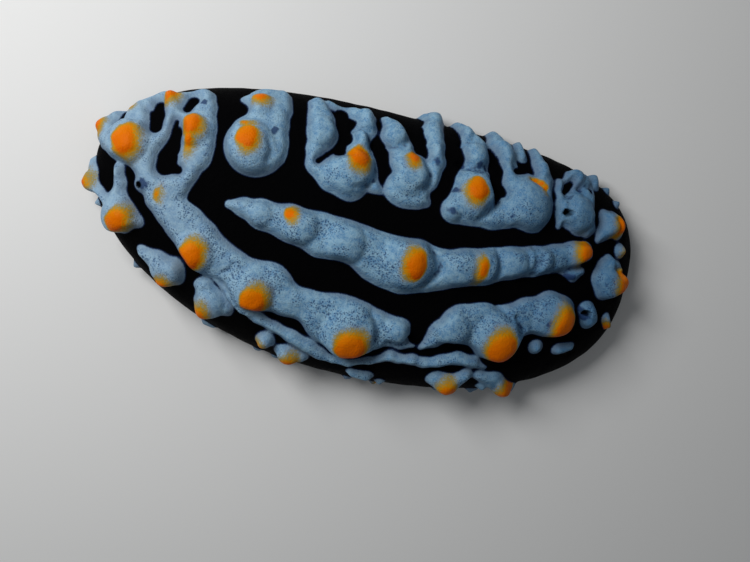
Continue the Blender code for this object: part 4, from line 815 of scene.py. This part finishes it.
# Gills: a row of soft leaflets on each side, hanging in the groove between the foot and the shield. Each is
# a thin three-cornered flap, grown to the shield above and to the flank beside it; large and small ones
# take turns.
GILL_SPAN = (-24.5, 21.0)
GILL_PITCH = 0.42
GILL_ROOT_HEIGHT = 4.05
GILL_REACH = 3.0
GILL_DROP = 2.2
GILL_THICKNESS = 0.11
GILL_BULGE = 0.16
GILL_RIPPLE = 0.10
GILL_SMALL = 0.68
GILL_SIZES = (0.9, 1.08)
GILL_ROW_END = 0.45
GILL_ROW_GROWTH = 0.2
GILL_LEAN = 0.12
GILL_SINK = 0.15
GILL_SPACING = (0.9, 1.1)
GILL_STREAKS = 1400.0
GILL_DARK, GILL_PALE = pigment(92, 98, 108), pigment(134, 140, 148)
LEAFLET_CORNER = 0.04
FLANK_INSET = 0.9


def beside_foot(along, side):
    """A plan point on the foot's flank, and the directions out of it and along it."""
    def flank(place):
        share = max(1.0 - abs((place - FOOT_MIDDLE) / FOOT_REACH[0]) ** FOOT_ROUNDNESS, 0.0)
        return midline(place) + side * (FOOT_REACH[1] * share ** (1.0 / FOOT_ROUNDNESS) - FLANK_INSET)
    run = Vector((0.1, flank(along + 0.05) - flank(along - 0.05), 0.0)).normalized()
    return Vector((along, flank(along), 0.0)), Vector((-run.y, run.x, 0.0)) * side, run


bpy.ops.object.select_all(action="DESELECT")
bpy.ops.mesh.primitive_grid_add(x_subdivisions=7, y_subdivisions=6, size=2.0)
leaflet = bpy.context.object
leaflet.name = "leaflet"
for vert in leaflet.data.vertices:
    round_turn = (vert.co.x + 1.0) * math.pi / 4
    from_corner = LEAFLET_CORNER + (1.0 - LEAFLET_CORNER) * (vert.co.y + 1.0) / 2
    bulge = 1.0 + GILL_BULGE * math.sin(2.0 * round_turn)
    ripple = GILL_RIPPLE * from_corner ** 2 * math.sin(3.0 * round_turn + 0.6)
    out = from_corner * bulge
    vert.co = (out * math.cos(round_turn), ripple, -out * math.sin(round_turn))
thicken = leaflet.modifiers.new("thickness", "SOLIDIFY")
thicken.thickness = GILL_THICKNESS
thicken.offset = 0.0
bpy.ops.object.modifier_apply(modifier=thicken.name)
gill_skin, gill_shader, gill_place = new_material("gill_skin", 0.4, 0.25)
streaks = ramp(gill_skin, noise(gill_skin, gill_place, GILL_STREAKS), 0.3, 0.7)
gill_grey = blend(gill_skin, streaks, GILL_DARK, GILL_PALE)
gill_skin.node_tree.links.new(gill_grey, gill_shader.inputs["Base Color"])
for side, name in ((1.0, "gills_left"), (-1.0, "gills_right")):
    draw = np.random.RandomState(17 + int(side))
    copies = []
    along = GILL_SPAN[0]
    while along < GILL_SPAN[1]:
        place, out, run = beside_foot(along, side)
        size = (GILL_SMALL if len(copies) % 2 else 1.0) * draw.uniform(*GILL_SIZES)
        from_end = min(along - GILL_SPAN[0], GILL_SPAN[1] - along)
        size *= min(1.0, GILL_ROW_END + GILL_ROW_GROWTH * from_end)
        across_row = (run + out * draw.uniform(-GILL_LEAN, GILL_LEAN)).normalized()
        copy = leaflet.copy()
        copy.data = leaflet.data.copy()
        turned = Matrix((out * GILL_REACH * size, across_row, Vector((0, 0, GILL_DROP * size)))).transposed()
        copy.data.transform(Matrix.Scale(MM, 4) @ Matrix.Translation(
            place - out * GILL_SINK + Vector((0.0, 0.0, GILL_ROOT_HEIGHT))) @ turned.to_4x4())
        bpy.context.scene.collection.objects.link(copy)
        copies.append(copy)
        along += GILL_PITCH * draw.uniform(*GILL_SPACING) * abs(run.x)
    bpy.ops.object.select_all(action="DESELECT")
    for copy in copies:
        copy.select_set(True)
    bpy.context.view_layer.objects.active = copies[0]
    bpy.ops.object.join()
    gills = bpy.context.object
    gills.name = name
    bpy.ops.object.mode_set(mode="EDIT")
    bpy.ops.mesh.select_all(action="SELECT")
    bpy.ops.mesh.normals_make_consistent(inside=False)
    bpy.ops.object.mode_set(mode="OBJECT")
    gills.data.materials.append(gill_skin)
    bpy.ops.object.shade_smooth()
    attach(gills, "root")
    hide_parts(name)
bpy.data.objects.remove(leaflet)

# Rhinophores: two small scent feelers, each a ringed club on a stalk of soft orange flesh, drawn back into
# its pocket in the shield.
CLUB_RADIUS = 0.27
CLUB_RINGS = 8
RING_DEPTH = 0.22
# From foot to top: where the rings lie, and where the club swells out of its stalk and back
RING_SPAN = (0.25, 0.95)
SWELL_SPAN = (0.2, 0.95)
STALK_GIRTH = 0.55
# How deep the club's foot and top lie under the back
CLUB_FOOT = 2.1
CLUB_TOP = 0.95
CLUB_FLECKS = 3000.0
CLUB_AMBER, CLUB_YELLOW = pigment(206, 120, 8), pigment(226, 156, 30)

club = new_ball("club", 24, 64)
for vert in club.data.vertices:
    up = 0.5 + 0.5 * vert.co.z
    ring = math.sqrt(max(1.0 - vert.co.z ** 2, 1e-9))
    swell = min(max((up - SWELL_SPAN[0]) / (SWELL_SPAN[1] - SWELL_SPAN[0]), 0.0), 1.0)
    girth = STALK_GIRTH + (1.0 - STALK_GIRTH) * math.sin(math.pi * swell)
    girth *= (1.0 - abs(vert.co.z) ** 8) ** 0.5
    if RING_SPAN[0] < up < RING_SPAN[1]:
        turns = CLUB_RINGS * (up - RING_SPAN[0]) / (RING_SPAN[1] - RING_SPAN[0])
        girth *= 1.0 - RING_DEPTH * (0.5 + 0.5 * math.cos(2.0 * math.pi * turns))
    vert.co = (vert.co.x / ring * girth * CLUB_RADIUS, vert.co.y / ring * girth * CLUB_RADIUS,
               up * (CLUB_FOOT - CLUB_TOP))
feeler_skin, feeler_shader, feeler_place = new_material("feeler_skin", 0.45, 0.2)
flecks = ramp(feeler_skin, noise(feeler_skin, feeler_place, CLUB_FLECKS), 0.35, 0.65)
feeler_amber = blend(feeler_skin, flecks, CLUB_AMBER, CLUB_YELLOW)
feeler_skin.node_tree.links.new(feeler_amber, feeler_shader.inputs["Base Color"])
club.data.materials.append(feeler_skin)
bpy.ops.object.shade_smooth()
for name in ("rhinophore_left", "rhinophore_right"):
    surface = place_on_back(*PITS[name][:2])
    feeler = club.copy()
    feeler.data = club.data.copy()
    feeler.name = name
    feeler.data.transform(Matrix.Scale(MM, 4) @ Matrix.Translation((*surface[:2], surface[2] - CLUB_FOOT)))
    bpy.context.scene.collection.objects.link(feeler)
    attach(feeler, "root")
    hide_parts(name)
bpy.data.objects.remove(club)

# Studio: a plain pale floor, soft light from the upper left, and the camera above the animal's left rear,
# at the photograph's angle, with the head to the right of the picture.
AXIS_TURN = math.radians(12.0)
CAMERA_TILT = math.radians(12.5)
CAMERA_SIDE = math.radians(45.0)
CAMERA_DISTANCE = 113.0 * MM
CAMERA_AIM = Vector((1.0, -4.15, 5.3)) * MM
CAMERA_LENS = 43.2
SENSOR_WIDTH = 36.0
PAPER_COLOUR = (0.82, 0.82, 0.81, 1.0)
SKY_COLOUR = (0.92, 0.96, 1.0, 1.0)
SKY_STRENGTH = 0.13
LAMP_PLACE = Vector((-98.0, 58.0, 118.0)) * MM
LAMP_SIZE = 70.0 * MM
LAMP_ENERGY = 0.20

bpy.ops.mesh.primitive_plane_add(size=2.0, location=(0.0, 0.0, 0.0))
floor = bpy.context.object
floor.name = "floor"
paper = bpy.data.materials.new("paper")
paper.use_nodes = True
paper_shader = paper.node_tree.nodes["Principled BSDF"]
paper_shader.inputs["Base Color"].default_value = PAPER_COLOUR
paper_shader.inputs["Roughness"].default_value = 0.9
floor.data.materials.append(paper)

picture_right = Vector((math.cos(AXIS_TURN), math.sin(AXIS_TURN), 0.0))
picture_up = Vector((-math.sin(AXIS_TURN), math.cos(AXIS_TURN), 0.0))
back = Vector((0.0, 0.0, 1.0)) * math.cos(CAMERA_TILT) + math.sin(CAMERA_TILT) * (
    -math.sin(CAMERA_SIDE) * picture_right + math.cos(CAMERA_SIDE) * picture_up)
across_view = picture_up.cross(back).normalized()
up_view = back.cross(across_view)
lens = bpy.data.cameras.new("camera")
lens.lens = CAMERA_LENS
lens.sensor_width = SENSOR_WIDTH
lens.clip_start = 0.005
camera = bpy.data.objects.new("camera", lens)
camera.matrix_world = Matrix.Translation(CAMERA_AIM + back * CAMERA_DISTANCE) @ Matrix(
    (across_view, up_view, back)).transposed().to_4x4()
bpy.context.scene.collection.objects.link(camera)
bpy.context.scene.camera = camera

world = bpy.data.worlds.new("studio")
world.use_nodes = True
world.node_tree.nodes["Background"].inputs["Color"].default_value = SKY_COLOUR
world.node_tree.nodes["Background"].inputs["Strength"].default_value = SKY_STRENGTH
bpy.context.scene.world = world
bpy.context.scene.view_settings.view_transform = "Standard"
lamp_data = bpy.data.lights.new("soft_light", "AREA")
lamp_data.size = LAMP_SIZE
lamp_data.energy = LAMP_ENERGY
lamp = bpy.data.objects.new("soft_light", lamp_data)
lamp.matrix_world = Matrix.Translation(LAMP_PLACE) @ LAMP_PLACE.to_track_quat("Z", "Y").to_matrix().to_4x4()
bpy.context.scene.collection.objects.link(lamp)
